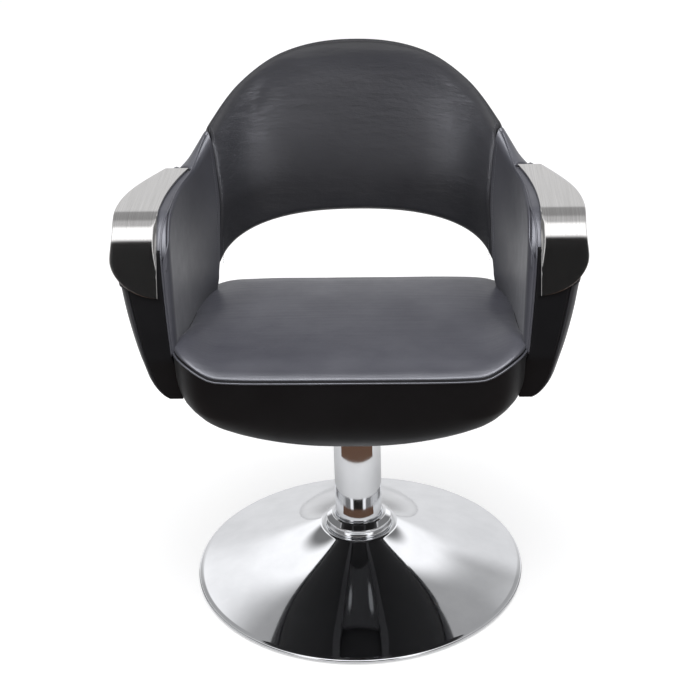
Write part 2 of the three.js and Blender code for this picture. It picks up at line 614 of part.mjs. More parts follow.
// A panel of the wall: a closed grid between two angles, two heights and two depths. The
// heights are functions of the angle and the depths functions of angle and height below the rim.
function panel({ from, to, low, high, inside, outside, across = 16, up = 8 }) {
  const positions = [];
  for (const side of [inside, outside]) {
    for (let i = 0; i <= across; i += 1) {
      const angle = lerp(from, to, i / across);
      for (let k = 0; k <= up; k += 1) {
        const z = lerp(low(angle), high(angle), k / up);
        const p = wallPoint(angle, z, side(Math.abs(angle), wallTop(angle) - z));
        positions.push(p.x, p.y, p.z);
      }
    }
  }
  const layer = (across + 1) * (up + 1);
  const at = (side, i, k) => side * layer + i * (up + 1) + k;
  const index = [];
  const quad = (a, b, c, d) => index.push(a, b, c, a, c, d);
  for (let i = 0; i < across; i += 1) {
    for (let k = 0; k < up; k += 1) {
      quad(at(0, i, k), at(0, i, k + 1), at(0, i + 1, k + 1), at(0, i + 1, k));
      quad(at(1, i, k), at(1, i + 1, k), at(1, i + 1, k + 1), at(1, i, k + 1));
    }
    quad(at(0, i, 0), at(0, i + 1, 0), at(1, i + 1, 0), at(1, i, 0));
    quad(at(0, i, up), at(1, i, up), at(1, i + 1, up), at(0, i + 1, up));
  }
  for (let k = 0; k < up; k += 1) {
    quad(at(0, 0, k), at(1, 0, k), at(1, 0, k + 1), at(0, 0, k + 1));
    quad(at(0, across, k), at(0, across, k + 1), at(1, across, k + 1), at(1, across, k));
  }
  const geometry = new THREE.BufferGeometry();
  geometry.setAttribute("position", new THREE.BufferAttribute(new Float32Array(positions), 3));
  geometry.setIndex(index);
  return weld(geometry);
}

// Depths where the layers meet: inner padding, moulded core, outer padding. The padding is
// thick on the back and thin inside the arms, and closes over the core at the rim.
const share = (angle) => smoothstep(angle, SEAM_ANGLE - 5, SHOULDER_ANGLE + 3);
const coreInside = (angle) => lerp(0.44, 0.155, share(angle));
const coreOutside = (angle) => lerp(0.6, 0.265, share(angle));
const coreDrop = (angle) => lerp(42, 12, share(angle));
const overCore = (angle, below) => below < coreDrop(angle) / 2;
const padOutside = (angle, below) => (
  overCore(angle, below) ? lerp(0.495, 0.14, share(angle)) : coreInside(angle) - LAYER_GAP);
const coverInside = (angle, below) => (
  overCore(angle, below) ? lerp(0.505, 0.28, share(angle)) : coreOutside(angle) + LAYER_GAP);
// The arm's front padding reaches in to the seat below the seat's corner.
const frontInside = (angle, below) => -0.12 * (1 - smoothstep(wallTop(angle) - below, 487, 540));
const innerFace = () => 0;
const outerFace = () => 1;

// Lower edge of the wall, and of the opening in the back.
function wallBottom(angle) {
  return lerp(TUB_BOTTOM_REAR, TUB_BOTTOM, smoothstep(Math.abs(angle), 30, 75));
}

function openingBottom(angle) {
  return OPENING_BOTTOM + OPENING_CORNER * clamp(Math.abs(angle) / SEAM_ANGLE, 0, 1) ** 4;
}

function openingTop(angle) {
  const part = clamp(Math.abs(angle) / SEAM_ANGLE, 0, 1) ** 2.2;
  return lerp(OPENING_SIDE, OPENING_TOP, (1 - part) ** (1 / 2.2));
}

function addTub() {
  const edge = FRONT_ANGLE - 2.4; // the layers stop behind the arm's front padding
  const coreShape = panel({
    from: 1 - edge, to: edge - 1, low: (a) => wallBottom(a) + 3,
    high: (a) => wallTop(a) - coreDrop(Math.abs(a)), inside: coreInside, outside: coreOutside, across: 48, up: 7,
  });
  const window = panel({
    from: -SEAM_ANGLE, to: SEAM_ANGLE, low: (a) => openingBottom(a) - 7, high: (a) => openingTop(a) + 6,
    inside: () => -0.3, outside: () => 1.3, across: 16, up: 1,
  });
  add("tub_core", cut(coreShape, window), "plywood");

  const halfBack = SEAM_ANGLE - SEAM_GAP;
  add("back_inner_pad", panel({
    from: -halfBack, to: halfBack, low: openingTop, high: wallTop,
    inside: innerFace, outside: padOutside, across: 20, up: 7,
  }), "vinyl");
  add("back_outer_pad", panel({
    from: -halfBack, to: halfBack, low: openingTop, high: wallTop,
    inside: coverInside, outside: outerFace, across: 20, up: 7,
  }), "vinyl");
  add("rear_band_pad", panel({
    from: -halfBack, to: halfBack, low: wallBottom, high: openingBottom,
    inside: (a) => coreOutside(a) + 2 * LAYER_GAP, outside: outerFace, across: 20, up: 2,
  }), "vinyl");
  add("rear_band_lining", panel({
    from: -halfBack, to: halfBack, low: (a) => Math.max(wallBottom(a), OPENING_BOTTOM - 18), high: openingBottom,
    inside: () => 0.06, outside: (a) => coreInside(a) - 2 * LAYER_GAP, across: 20, up: 2,
  }), "vinyl");

  for (const [side, sign] of [["left", 1], ["right", -1]]) {
    const span = (from, to) => ({ from: sign * from, to: sign * to });
    add(`arm_inner_pad_${side}`, panel({
      ...span(SEAM_ANGLE + SEAM_GAP, edge), low: wallBottom, high: wallTop,
      inside: innerFace, outside: padOutside, across: 13, up: 7,
    }), "vinyl");
    add(`shoulder_outer_pad_${side}`, panel({
      ...span(SEAM_ANGLE + SEAM_GAP, SHOULDER_ANGLE), low: wallBottom, high: wallTop,
      inside: coverInside, outside: outerFace, across: 3, up: 9,
    }), "vinyl");
    add(`side_outer_pad_${side}`, panel({
      ...span(SHOULDER_ANGLE + 4 * SEAM_GAP, edge), low: wallBottom, high: () => ARM_TOP - ARMREST_DEPTH,
      inside: coverInside, outside: outerFace, across: 10, up: 5,
    }), "vinyl");
    const armrest = panel({
      ...span(SHOULDER_ANGLE + 4 * SEAM_GAP, edge), low: () => ARM_TOP - ARMREST_DEPTH + GAP,
      high: (a) => Math.min(wallTop(a), ARM_TOP), inside: (a) => coreOutside(a) + LAYER_GAP,
      outside: () => 0.985, across: 14, up: 3,
    });
    const holes = STUD_PLACES.map((y) => (
      disc(STUD_RADIUS + GAP, STUD_BOTTOM - GAP, CAP_TOP, 12).translate(studX(y, sign), y, 0)));
    add(`armrest_block_${side}`, cut(armrest, ...holes), "vinyl");
    add(`arm_front_pad_${side}`, panel({
      ...span(edge + SEAM_GAP, FRONT_ANGLE), low: wallBottom, high: (a) => Math.min(wallTop(a), 654),
      inside: frontInside, outside: outerFace, across: 1, up: 7,
    }), "vinyl");
  }
}

// ---------------------------------------------------------------- armrest caps
// The cap's upper surface in side view, from the rear: flat, bent, then leaning with the
// arm's front. Each station has its point and its normal.
function capStations() {
  const lean = Math.atan(FRONT_LEAN);
  const turn = Math.PI / 2 - lean;
  const bendEndZ = CAP_TOP - CAP_BEND * (1 - Math.cos(turn));
  const faceY = frontEdge(bendEndZ) - CAP_THICKNESS - 2 * GAP;
  const bendStart = faceY + CAP_BEND * Math.sin(turn);
  const flat = [0, 0.2, 0.4, 0.6, 0.8, 1].map((part) => (
    { y: lerp(CAP_REAR, bendStart, part), z: CAP_TOP, ny: 0, nz: 1 }));
  const bend = [0.2, 0.4, 0.6, 0.8, 1].map((part) => {
    const [s, c] = [Math.sin(part * turn), Math.cos(part * turn)];
    return { y: bendStart - CAP_BEND * s, z: CAP_TOP - CAP_BEND * (1 - c), ny: -s, nz: c };
  });
  const face = [0.25, 0.5, 0.7, 0.85, 0.95, 1].map((part) => {
    const z = lerp(bendEndZ, CAP_FRONT_END, part);
    return { y: faceY - FRONT_LEAN * (bendEndZ - z), z, ny: -Math.cos(lean), nz: Math.sin(lean) };
  });
  return [...flat, ...bend, ...face];
}

function addArmrestCaps() {
  for (const [side, sign] of [["left", 1], ["right", -1]]) {
    const rings = capStations().map(({ y, z, ny, nz }) => {
      const planY = Math.max(y, FRONT_Y + 1);
      const inner = wallX(planY, CAP_INNER_INSET, 1);
      const below = Math.max(0, CAP_FRONT_END + CAP_TIP - z) / CAP_TIP;
      const flare = CAP_FLARE * smoothstep(CAP_TOP - z, 0, CAP_BEND);
      const corner = CAP_TIP * 1.25 * (1 - Math.sqrt(1 - below ** 2));
      const outer = wallX(planY, 1, 1) + 1 + flare - corner;
      const under = [y - ny * CAP_THICKNESS, z - nz * CAP_THICKNESS];
      return [
        new THREE.Vector3(sign * inner, y, z), new THREE.Vector3(sign * outer, y, z),
        new THREE.Vector3(sign * outer, ...under), new THREE.Vector3(sign * inner, ...under),
      ];
    });
    add(`armrest_cap_${side}`, loft(rings), "brushedSteel");
    STUD_PLACES.forEach((y, i) => {
      const stud = disc(STUD_RADIUS, STUD_BOTTOM, CAP_TOP - CAP_THICKNESS - GAP, 12);
      add(`cap_stud_${["front", "rear"][i]}_${side}`, stud.translate(studX(y, sign), y, 0), "steel");
    });
  }
}

addBase();
addColumn();
addLift();
addLever();
addPlunger();
addSeatMount();
addSeat();
addTub();
addArmrestCaps();

export default chair;
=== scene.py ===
"""Styling chair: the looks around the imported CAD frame. Metres, +Z up, the sitter faces -Y."""

import json
import math

import bmesh
import bpy
import numpy as np
from mathutils import Matrix, Vector


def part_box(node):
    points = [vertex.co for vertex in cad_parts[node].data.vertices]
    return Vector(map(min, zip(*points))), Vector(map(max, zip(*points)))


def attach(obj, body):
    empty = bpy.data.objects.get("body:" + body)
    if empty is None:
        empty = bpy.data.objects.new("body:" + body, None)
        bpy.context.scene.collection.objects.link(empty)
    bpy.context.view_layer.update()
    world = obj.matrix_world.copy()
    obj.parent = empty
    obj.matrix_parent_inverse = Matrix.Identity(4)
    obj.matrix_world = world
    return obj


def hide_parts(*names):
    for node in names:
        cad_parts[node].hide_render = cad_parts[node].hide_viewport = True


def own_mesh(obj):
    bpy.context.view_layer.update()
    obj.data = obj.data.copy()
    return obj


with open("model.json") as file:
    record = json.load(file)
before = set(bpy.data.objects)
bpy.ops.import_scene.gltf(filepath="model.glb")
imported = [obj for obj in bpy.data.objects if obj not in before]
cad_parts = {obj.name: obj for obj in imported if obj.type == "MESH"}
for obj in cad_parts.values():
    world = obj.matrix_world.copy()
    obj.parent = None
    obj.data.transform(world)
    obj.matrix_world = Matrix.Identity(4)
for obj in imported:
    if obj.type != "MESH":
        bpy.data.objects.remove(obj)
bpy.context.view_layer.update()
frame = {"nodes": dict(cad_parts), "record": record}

# ---- driving dimensions
SIDES = {"left": 1, "right": -1}
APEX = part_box("back_inner_pad")[1].z  # top of the back
ARM_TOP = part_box("armrest_block_left")[1].z

# Base and column
BASE_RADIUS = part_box("base_dome")[1].x
BOSS_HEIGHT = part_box("base_dome")[1].z
BASE_LIP = 0.007
BOSS_RADIUS = 0.064
DOME_FLARE = 0.27
SHEET = 0.0025
FIT = 0.0003  # between pieces that touch
COLUMN_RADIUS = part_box("column_tube")[1].x

# Plunger spring
SPRING_WIRE = 0.0009
SPRING_TURNS = 5

# Tub wall: polar surfaces about an axis in front of the back. The opening and the arm's nose are
# rounder than in the CAD source.
TUB_CENTRE_Y = -0.070
TUB_BOTTOM = 0.432
TUB_BOTTOM_REAR = 0.392
INNER_HALF_WIDTH = 0.262
INNER_DEPTH = 0.285
OUTER_HALF_WIDTH = 0.360
OUTER_TAPER = 0.062
OUTER_DEPTH = 0.318
OUTER_LEAN = 0.037
INNER_LEAN = 0.032
TAPER_TOP = 0.720
TAPER_HEIGHT = 0.290
TAPER_POWER = 1.9
SHOULDER_INSET = 0.006
TUB_FOOT = 0.400
TUB_HEIGHT = 0.463
WAIST = 0.035  # how far the wall thins between back and arm, as a share of its radius
WAIST_ANGLE = 64
WAIST_SPREAD = 16
FRONT_ANGLE = 101.0
FRONT_Y = -0.126
FRONT_LEAN = 0.316
ARM_NOSE = 0.062
ARM_REACH = 0.300  # from the axis to the arm's front
SEAM_ANGLE = 45.3
SHOULDER_ANGLE = 57.0
SEAM_LEAN = 3.2
OPENING_TOP = 0.569
OPENING_SIDE = 0.497
OPENING_BOTTOM = 0.440
OPENING_CORNER = 0.021
OPENING_POWER = 2.08
ARMREST_BOTTOM = ARM_TOP - 0.092
RIM_LIFT = 0.007
RIM_POINTS = [(0, APEX), (20, 0.837), (33, 0.795), (45, 0.735), (54, 0.704), (62, ARM_TOP)]

# Seat: fuller in front and below, and squarer behind, than in the CAD source
SEAT_BOTTOM = 0.356
SEAT_FRONT_TOP = 0.498
SEAT_HALF_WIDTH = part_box("seat_shell")[1].x
SEAT_FRONT_WIDER = 0.015  # padding that fills the space between the arms in front
SEAT_HALF_DEPTH = 0.228
SEAT_CENTRE_Y = -0.022
SEAT_SLOPE = 0.085
SEAT_SIDE_RISE = 0.024
FRONT_CORNER = 6.0
REAR_CORNER = 8.0

# Armrest caps, with a wider bend than in the CAD source
CAP_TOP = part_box("armrest_cap_left")[1].z
CAP_THICKNESS = 0.003
CAP_BEND = 0.068
CAP_REAR = 0.100
CAP_FRONT_END = 0.590
CAP_TIP = 0.060
CAP_FLARE = 0.006
CAP_INNER_INSET = 0.225
CAP_CURL = 0.0055  # the face's inner edge turns back at the top

# Upholstery details. Depth runs from the wall's inner face (0) to its outer face (1).
SEAM_DEGREES = 0.05
FOLD_STEP = 0.06  # degrees between the columns of a fold into the opening's jamb
SIDE_GAP = 0.12  # degrees between the shoulder and the arm's side
BACK_HALF = SEAM_ANGLE - SEAM_DEGREES
SEAT_CROWN = 0.0065
CORNER_DEGREES = 3.4  # the arm's inner front corner
CORNER_DEPTH = 0.17
OUTER_CORNER_DEGREES = 4.6
OUTER_CORNER_DEPTH = 0.16
SIDE_ROUND = 0.034
FOOT_INNER, FOOT_OUTER = 0.42, 0.43  # where the inner and outer padding meet at the wall's foot
RIM_SEAM_DEPTH = 0.05  # where the arm's inner pad meets the block on the rim
WELT_RADIUS = 0.0016
SWELL_SMOOTHING = 14  # passes that take the small kinks out of a simulated swelling
SWELL_FRAMES = 20
PIN_MARGIN = 0.006  # width over which a pad's held edge comes free
LEAST_THICKNESS = 0.001
CORE_INSET = 0.014  # from the upholstery's edges to the plywood
CORE_BOARD = 0.009
CORE_OVERLAP = 3  # degrees
STITCH_OFFSET = 1.25  # degrees between the seam and its stitches

# Darkest and lightest colour of the vinyl's mottling
VINYL_LOW, VINYL_HIGH = (0.017, 0.017, 0.021), (0.028, 0.028, 0.032)

# Studio surround: (place, brightness) bands over the top from front to back, and to the sides
OVER_BANDS = [
    (0.0, 0.015), (0.25, 0.02), (0.31, 1.7), (0.46, 1.7), (0.51, 0.64), (0.58, 0.62), (0.63, 0.36),
    (0.79, 0.38), (0.84, 0.80), (1.0, 0.80),
]
ASIDE_BANDS = [(0.0, 1.15), (0.56, 1.15), (0.66, 0.20), (0.86, 0.20), (0.95, 0.55), (1.0, 0.60)]

# Lights in watts, and the floor's own glow as the camera and as everything else gets it
OVERHEAD = 55
FRONT_FILL = 5
FLOOR_FILL = 260
TOP_FILL = 175
FILL_COLOUR = (0.90, 0.92, 1.0)
FLOOR_GLOW_SEEN = 0.55
FLOOR_GLOW_UNSEEN = 0.12
BROWN_FLOOR = (0.125, 0.072, 0.050)
BROWN_FLOOR_FROM = 0.47


# ---- mesh helpers
def linked(name, mesh):
    """A new object for a mesh, in the scene."""
    obj = bpy.data.objects.new(name, mesh)
    bpy.context.scene.collection.objects.link(obj)
    return obj


def turn_outwards(mesh, merge=0.0):
    """Turns the normals outwards, after joining points nearer than the merge distance."""
    bm = bmesh.new()
    bm.from_mesh(mesh)
    if merge > 0:
        bmesh.ops.remove_doubles(bm, verts=bm.verts, dist=merge)
    bmesh.ops.recalc_face_normals(bm, faces=bm.faces)
    bm.to_mesh(mesh)
    bm.free()


def mesh_object(name, vertices, faces, smooth=True):
    """A mesh object from vertices and faces."""
    mesh = bpy.data.meshes.new(name)
    mesh.from_pydata([tuple(map(float, v)) for v in vertices], [], [tuple(f) for f in faces])
    turn_outwards(mesh, merge=1e-6)
    mesh.polygons.foreach_set("use_smooth", [smooth] * len(mesh.polygons))
    return linked(name, mesh)


def ring_faces(levels, count, closed=False):
    """Quads between rings of points; where closed, the last ring joins the first."""
    faces = []
    for level in range(levels if closed else levels - 1):
        low, high = level * count, (level + 1) % levels * count
        for i in range(count):
            k = (i + 1) % count
            faces.append((low + i, low + k, high + k, high + i))
    return faces


def apply_modifiers(obj):
    """Replaces the object's mesh by the result of its modifiers."""
    graph = bpy.context.evaluated_depsgraph_get()
    made = bpy.data.meshes.new_from_object(obj.evaluated_get(graph))
    obj.modifiers.clear()
    obj.data = made
    return obj


def subdivide(obj):
    modifier = obj.modifiers.new("Subdivision", "SUBSURF")
    modifier.levels = modifier.render_levels = 1
    return apply_modifiers(obj)


def bevel(obj, width, segments, angle):
    modifier = obj.modifiers.new("Bevel", "BEVEL")
    modifier.width = width
    modifier.segments = segments
    modifier.limit_method = "ANGLE"
    modifier.angle_limit = math.radians(angle)
    return apply_modifiers(obj)


def shade_by_angle(obj, angle=35):
    """Smooth shading with sharp edges kept where faces meet at more than the angle."""
    obj.data.polygons.foreach_set("use_smooth", [True] * len(obj.data.polygons))
    obj.data.set_sharp_from_angle(angle=math.radians(angle))
    return obj


def filleted(corners, steps=6):
    """A polyline whose corners (x, y, radius) are rounded off by arcs."""
    points = []
    for i, (x, y, radius) in enumerate(corners):
        here = np.array([x, y])
        if radius == 0 or i in (0, len(corners) - 1):
            points.append(here)
            continue
        back = np.array(corners[i - 1][:2]) - here
        ahead = np.array(corners[i + 1][:2]) - here
        back_length, ahead_length = np.linalg.norm(back), np.linalg.norm(ahead)
        back, ahead = back / back_length, ahead / ahead_length
        half = math.acos(np.clip(back @ ahead, -1, 1)) / 2
        reach = min(radius / math.tan(half), back_length / 2, ahead_length / 2)
        start, end = here + back * reach, here + ahead * reach
        for t in np.linspace(0, 1, steps + 1):
            points.append((1 - t) ** 2 * start + 2 * t * (1 - t) * here + t**2 * end)
    return points


def lathe(name, profile, segments=144):
    """A profile of (radius, height) points, the last the same as the first, turned about Z."""
    turns = np.linspace(0, 2 * math.pi, segments, endpoint=False)
    vertices = [(r * math.cos(t), r * math.sin(t), z) for r, z in profile[:-1] for t in turns]
    return mesh_object(name, vertices, ring_faces(len(profile) - 1, segments, closed=True))


def prism(name, low, high):
    """A solid between two outlines with the same number of points."""
    count = len(low)
    faces = [tuple(range(count)), tuple(range(count, 2 * count)), *ring_faces(2, count)]
    return mesh_object(name, [*low, *high], faces, smooth=False)


def extruded(name, outline, thickness, centre_x=0.0):
    """An outline in the YZ plane, extruded along X."""
    return prism(name, *([(centre_x + side * thickness / 2, y, z) for y, z in outline] for side in (-1, 1)))


def tube(name, points, radius, sides=8, closed=False):
    """A round cord along points, with flat ends unless it is closed."""
    points = np.array(points, float)
    ahead = np.roll(points, -1, 0) - np.roll(points, 1, 0)
    if not closed:
        ahead[0], ahead[-1] = points[1] - points[0], points[-1] - points[-2]
    ahead /= np.linalg.norm(ahead, axis=1)[:, None]
    across = np.cross(ahead[0], (0, 0, 1.0))
    if np.linalg.norm(across) < 0.1:
        across = np.cross(ahead[0], (1.0, 0, 0))
    vertices = []
    for point, direction in zip(points, ahead):
        across = across - direction * (across @ direction)
        across /= np.linalg.norm(across)
        other = np.cross(direction, across)
        for i in range(sides):
            turn = 2 * math.pi * i / sides
            vertices.append(point + radius * (across * math.cos(turn) + other * math.sin(turn)))
    faces = ring_faces(len(points), sides, closed)
    if not closed:
        faces += [tuple(range(sides)), tuple(range(len(vertices) - sides, len(vertices)))]
    return mesh_object(name, vertices, faces)


def joined(name, parts):
    """One object from several."""
    bm = bmesh.new()
    for part in parts:
        bm.from_mesh(part.data)
        bpy.data.objects.remove(part)
    mesh = bpy.data.meshes.new(name)
    bm.to_mesh(mesh)
    bm.free()
    return linked(name, mesh)


# ---- the tub's surfaces
def smoothstep(x, low, high):
    t = np.clip((x - low) / (high - low), 0, 1)
    return t * t * (3 - 2 * t)


def lerp(a, b, t):
    return a + (b - a) * t


def smooth_through(x, points):
    """A smooth function of x through [x, y] points, level at both ends."""
    x = np.asarray(x, float)
    knots = np.array(points, float)
    slopes = np.zeros(len(knots))
    slopes[1:-1] = (knots[2:, 1] - knots[:-2, 1]) / (knots[2:, 0] - knots[:-2, 0])
    i = np.clip(np.searchsorted(knots[:, 0], x, side="right") - 1, 0, len(knots) - 2)
    width = knots[i + 1, 0] - knots[i, 0]
    s = np.clip((x - knots[i, 0]) / width, 0, 1)
    rise = s * s * (3 - 2 * s)
    bend = slopes[i] * width * s * (1 - s) ** 2 + slopes[i + 1] * width * s * s * (s - 1)
    return knots[i, 1] + (knots[i + 1, 1] - knots[i, 1]) * rise + bend


def rim_height(angle):
    """Top of the wall, with the back's rim lifted by what its cover's rounded edge takes off."""
    lift = RIM_LIFT * (1 - smoothstep(np.abs(angle), 38, 60))
    return smooth_through(np.abs(angle), RIM_POINTS) + lift * smoothstep(np.abs(angle), 0, 20)


def front_edge(z):
    """Y of the arm's front at a height."""
    return FRONT_Y - FRONT_LEAN * np.clip(ARM_TOP - z, 0, ARM_TOP - SEAT_FRONT_TOP)


def wall_top(angle):
    """Height of the wall's top: the rim, rounded down to the arm's front."""
    nose = np.radians(FRONT_ANGLE - np.abs(angle)) * ARM_REACH
    inside = np.clip(ARM_NOSE - nose, 0, ARM_NOSE)
    return rim_height(angle) - (ARM_NOSE - np.sqrt(ARM_NOSE**2 - inside**2))


def superellipse(turn, half_x, half_y, power):
    """Distance from the axis to a squared-off ellipse, in a direction turned from the back."""
    across = np.abs(np.sin(turn) / half_x) ** power
    along = np.abs(np.cos(turn) / half_y) ** power
    return (across + along) ** (-1 / power)


def seam_lean(angle, z):
    """Degrees by which the panels are drawn in towards the back above the opening."""
    amount = SEAM_LEAN * (1 - smoothstep(z, 0.600, 0.735))
    amount = amount * lerp(0.85, 1, smoothstep(z, 0.450, 0.530))
    return np.sign(angle) * amount * np.exp(-(((np.abs(angle) - SEAM_ANGLE) / 18) ** 2))


def wall_point(angle, z, depth):
    """Points of the wall: degrees round from the back, height, and depth from the inner face (0)
    to the outer face (1)."""
    angle, z, depth = np.broadcast_arrays(*(np.asarray(v, float) for v in (angle, z, depth)))
    # Outer face: it narrows downwards in a curve, leans back as it rises, and is squarer below
    fall = np.clip((TAPER_TOP - z) / TAPER_HEIGHT, 0, 2)
    shoulder = SHOULDER_INSET * np.clip((z - 0.640) / 0.060, 0, 1)
    outer_x = OUTER_HALF_WIDTH - shoulder - OUTER_TAPER * fall**TAPER_POWER
    up = np.clip((z - TUB_FOOT) / TUB_HEIGHT, 0, 1)
    outer_y = OUTER_DEPTH + OUTER_LEAN * np.sin(up * math.pi / 2)
    outer_power = 3 - 0.9 * np.clip((z - 0.450) / 0.250, 0, 1)
    # Inner face: almost upright, and squarer beside the seat
    inner_x = INNER_HALF_WIDTH + 0.006 * np.clip((z - 0.500) / 0.200, -1, 1)
    inner_y = INNER_DEPTH + INNER_LEAN * (z - 0.500) / 0.350
    inner_power = lerp(4.2, 3.2, np.clip((z - 0.440) / 0.050, 0, 1))
    waist = 1 - WAIST * np.exp(-(((np.abs(angle) - WAIST_ANGLE) / WAIST_SPREAD) ** 2))

    def radius_at(turn):
        return lerp(
            superellipse(turn, inner_x, inner_y, inner_power),
            superellipse(turn, outer_x, outer_y, outer_power) * waist,
            depth,
        )

    last = np.full(angle.shape, math.radians(FRONT_ANGLE))
    for _ in range(6):
        last = np.arccos((front_edge(z) - TUB_CENTRE_Y) / radius_at(last))
    turn = (angle - seam_lean(angle, z)) / FRONT_ANGLE * last
    radius = radius_at(turn)
    return np.stack([radius * np.sin(turn), TUB_CENTRE_Y + radius * np.cos(turn), z], axis=-1)


def wall_x(y, depth):
    """X at arm height of a line at constant depth in the wall."""
    low, high = SHOULDER_ANGLE - 12, FRONT_ANGLE
    for _ in range(30):
        middle = (low + high) / 2
        if wall_point(middle, ARM_TOP, depth)[1] > y:
            low = middle
        else:
            high = middle
    return float(wall_point(low, ARM_TOP, depth)[0])


def wall_bottom(angle):
    """Height of the wall's foot, lower behind the seat."""
    return lerp(TUB_BOTTOM_REAR, TUB_BOTTOM, smoothstep(np.abs(angle), 30, 75))


def opening_bottom(angle):
    return OPENING_BOTTOM + OPENING_CORNER * np.clip(np.abs(angle) / SEAM_ANGLE, 0, 1) ** 4


def opening_top(angle):
    """Height of the opening's upper edge, an arch between the two jambs."""
    part = np.clip(np.abs(angle) / SEAM_ANGLE, 0, 1) ** OPENING_POWER
    return lerp(OPENING_SIDE, OPENING_TOP, (1 - part) ** (1 / OPENING_POWER))


def thick_at(angle):
    """Blends a value from the back (0) to the arm (1)."""
    return smoothstep(np.abs(angle), SEAM_ANGLE - 5, SHOULDER_ANGLE + 3)


# ---- upholstery panels
def grid_normals(grid):
    along = np.gradient(grid, axis=0)
    across = np.gradient(grid, axis=1)
    normal = np.cross(along, across)
    return normal / np.maximum(np.linalg.norm(normal, axis=-1, keepdims=True), 1e-12)


def edge_distances(grid):
    """Distance in metres of every grid point from the four borders, along the surface."""
    def run(axis):
        step = np.linalg.norm(np.diff(grid, axis=axis), axis=-1)
        total = np.cumsum(step, axis=axis)
        zero = np.zeros_like(np.take(total, [0], axis=axis))
        from_start = np.concatenate([zero, total], axis=axis)
        return from_start, np.take(from_start, [-1], axis=axis) - from_start
    return (*run(0), *run(1))


def shell_from_grid(name, grid, outward, thickness, rolls):
    """A closed pad: the grid is its visible skin, rolled in at the four borders by the given
    radii, and a second skin lies the thickness below it. Returns the object and the pin weights."""
    normal = grid_normals(grid)
    middle = tuple(n // 2 for n in grid.shape[:2])
    if normal[middle] @ np.array(outward, float) < 0:
        normal = -normal
    sink = np.zeros(grid.shape[:2])
    nearness = np.zeros(grid.shape[:2])
    for distance, roll in zip(edge_distances(grid), rolls):
        if roll > 0:
            inside = np.clip(1 - distance / roll, 0, 1)
            sink = np.maximum(sink, roll * (1 - np.sqrt(1 - inside**2)))
            nearness = np.maximum(nearness, np.clip(1 - distance / (roll + PIN_MARGIN), 0, 1))
    top = grid - normal * sink[..., None]
    below = grid - normal * np.maximum(thickness, sink + LEAST_THICKNESS)[..., None]
    at = np.arange(sink.size).reshape(sink.shape)
    quads = np.stack([at[:-1, :-1], at[1:, :-1], at[1:, 1:], at[:-1, 1:]], axis=-1).reshape(-1, 4)
    faces = [*quads.tolist(), *(quads + sink.size)[:, ::-1].tolist()]
    border = [int(i) for i in (*at[0, :], *at[1:, -1], *at[-1, -2::-1], *at[-2:0:-1, 0])]
    for a, b in zip(border, border[1:] + border[:1]):
        faces.append([a, b, b + sink.size, a + sink.size])
    mesh = bpy.data.meshes.new(name)
    mesh.from_pydata(np.concatenate([top.reshape(-1, 3), below.reshape(-1, 3)]).tolist(), [], faces)
    turn_outwards(mesh)
    return linked(name, mesh), np.concatenate([nearness.ravel(), np.ones(sink.size)])


def puff(obj, pins, pressure, most):
    """Inflates a pad by cloth simulation. Pinned points stay, and no point moves past the cap."""
    rest = np.array([v.co for v in obj.data.vertices])
    group = obj.vertex_groups.new(name="pin")
    for i in np.nonzero(pins > 0.02)[0]:
        group.add([int(i)], float(pins[i]), "REPLACE")
    modifier = obj.modifiers.new("Cloth", "CLOTH")
    settings = modifier.settings
    settings.quality = 5
    settings.mass = 0.25
    settings.tension_stiffness = 18
    settings.compression_stiffness = 18
    settings.shear_stiffness = 6
    settings.bending_stiffness = 0.8
    settings.use_pressure = True
    settings.uniform_pressure_force = pressure
    settings.vertex_group_mass = "pin"
    settings.effector_weights.gravity = 0
    modifier.point_cache.frame_start = 1
    modifier.point_cache.frame_end = SWELL_FRAMES
    for number in range(1, SWELL_FRAMES + 1):
        bpy.context.scene.frame_set(number)
    graph = bpy.context.evaluated_depsgraph_get()
    moved = np.array([v.co for v in obj.evaluated_get(graph).data.vertices])
    shift = moved - rest
    edges = np.array([e.vertices[:] for e in obj.data.edges])
    neighbours = np.bincount(edges.ravel(), minlength=len(rest))[:, None]
    for _ in range(SWELL_SMOOTHING):
        total = np.zeros_like(shift)
        np.add.at(total, edges[:, 0], shift[edges[:, 1]])
        np.add.at(total, edges[:, 1], shift[edges[:, 0]])
        shift = (shift + total / neighbours) / 2
    length = np.linalg.norm(shift, axis=1, keepdims=True)
    shift *= most * np.tanh(length / most) / np.maximum(length, 1e-9)
    obj.modifiers.clear()
    obj.vertex_groups.clear()
    obj.data.vertices.foreach_set("co", (rest + shift).astype(np.float32).ravel())
    bpy.context.scene.frame_set(1)
    return obj


def arc(count, start, end):
    return np.linspace(math.radians(start), math.radians(end), count)


def wall_profile(low, high, ends, rounds, face, steps=33):
    """Height and depth along a panel of the wall, from its lower to its upper edge. The panel
    rolls from the first end's depth out to its face (0 inner, 1 outer) and back to the other's."""
    heights, depths = [], []
    if rounds[0] > 0:
        turn = arc(6, 0, 90)[:-1]
        heights.append(low + rounds[0] * (1 - np.cos(turn)))
        depths.append(ends[0] + (face - ends[0]) * np.sin(turn))
    heights.append(np.linspace(low + rounds[0], high - rounds[1], steps))
    depths.append(np.full(steps, float(face)))
    turn = arc(8, 0, 90)[1:]
    heights.append(high - rounds[1] + rounds[1] * np.sin(turn))
    depths.append(face + (ends[1] - face) * (1 - np.cos(turn)))
    return np.concatenate(heights), np.concatenate(depths)


def wall_grid(steps, column, sign=1):
    """The skin of one panel: column gives the angle, heights and depths of every step."""
    columns = []
    for step in steps:
        angle, heights, depths = column(*step)
        columns.append(wall_point(sign * angle, heights, depths))
    return np.stack(columns)


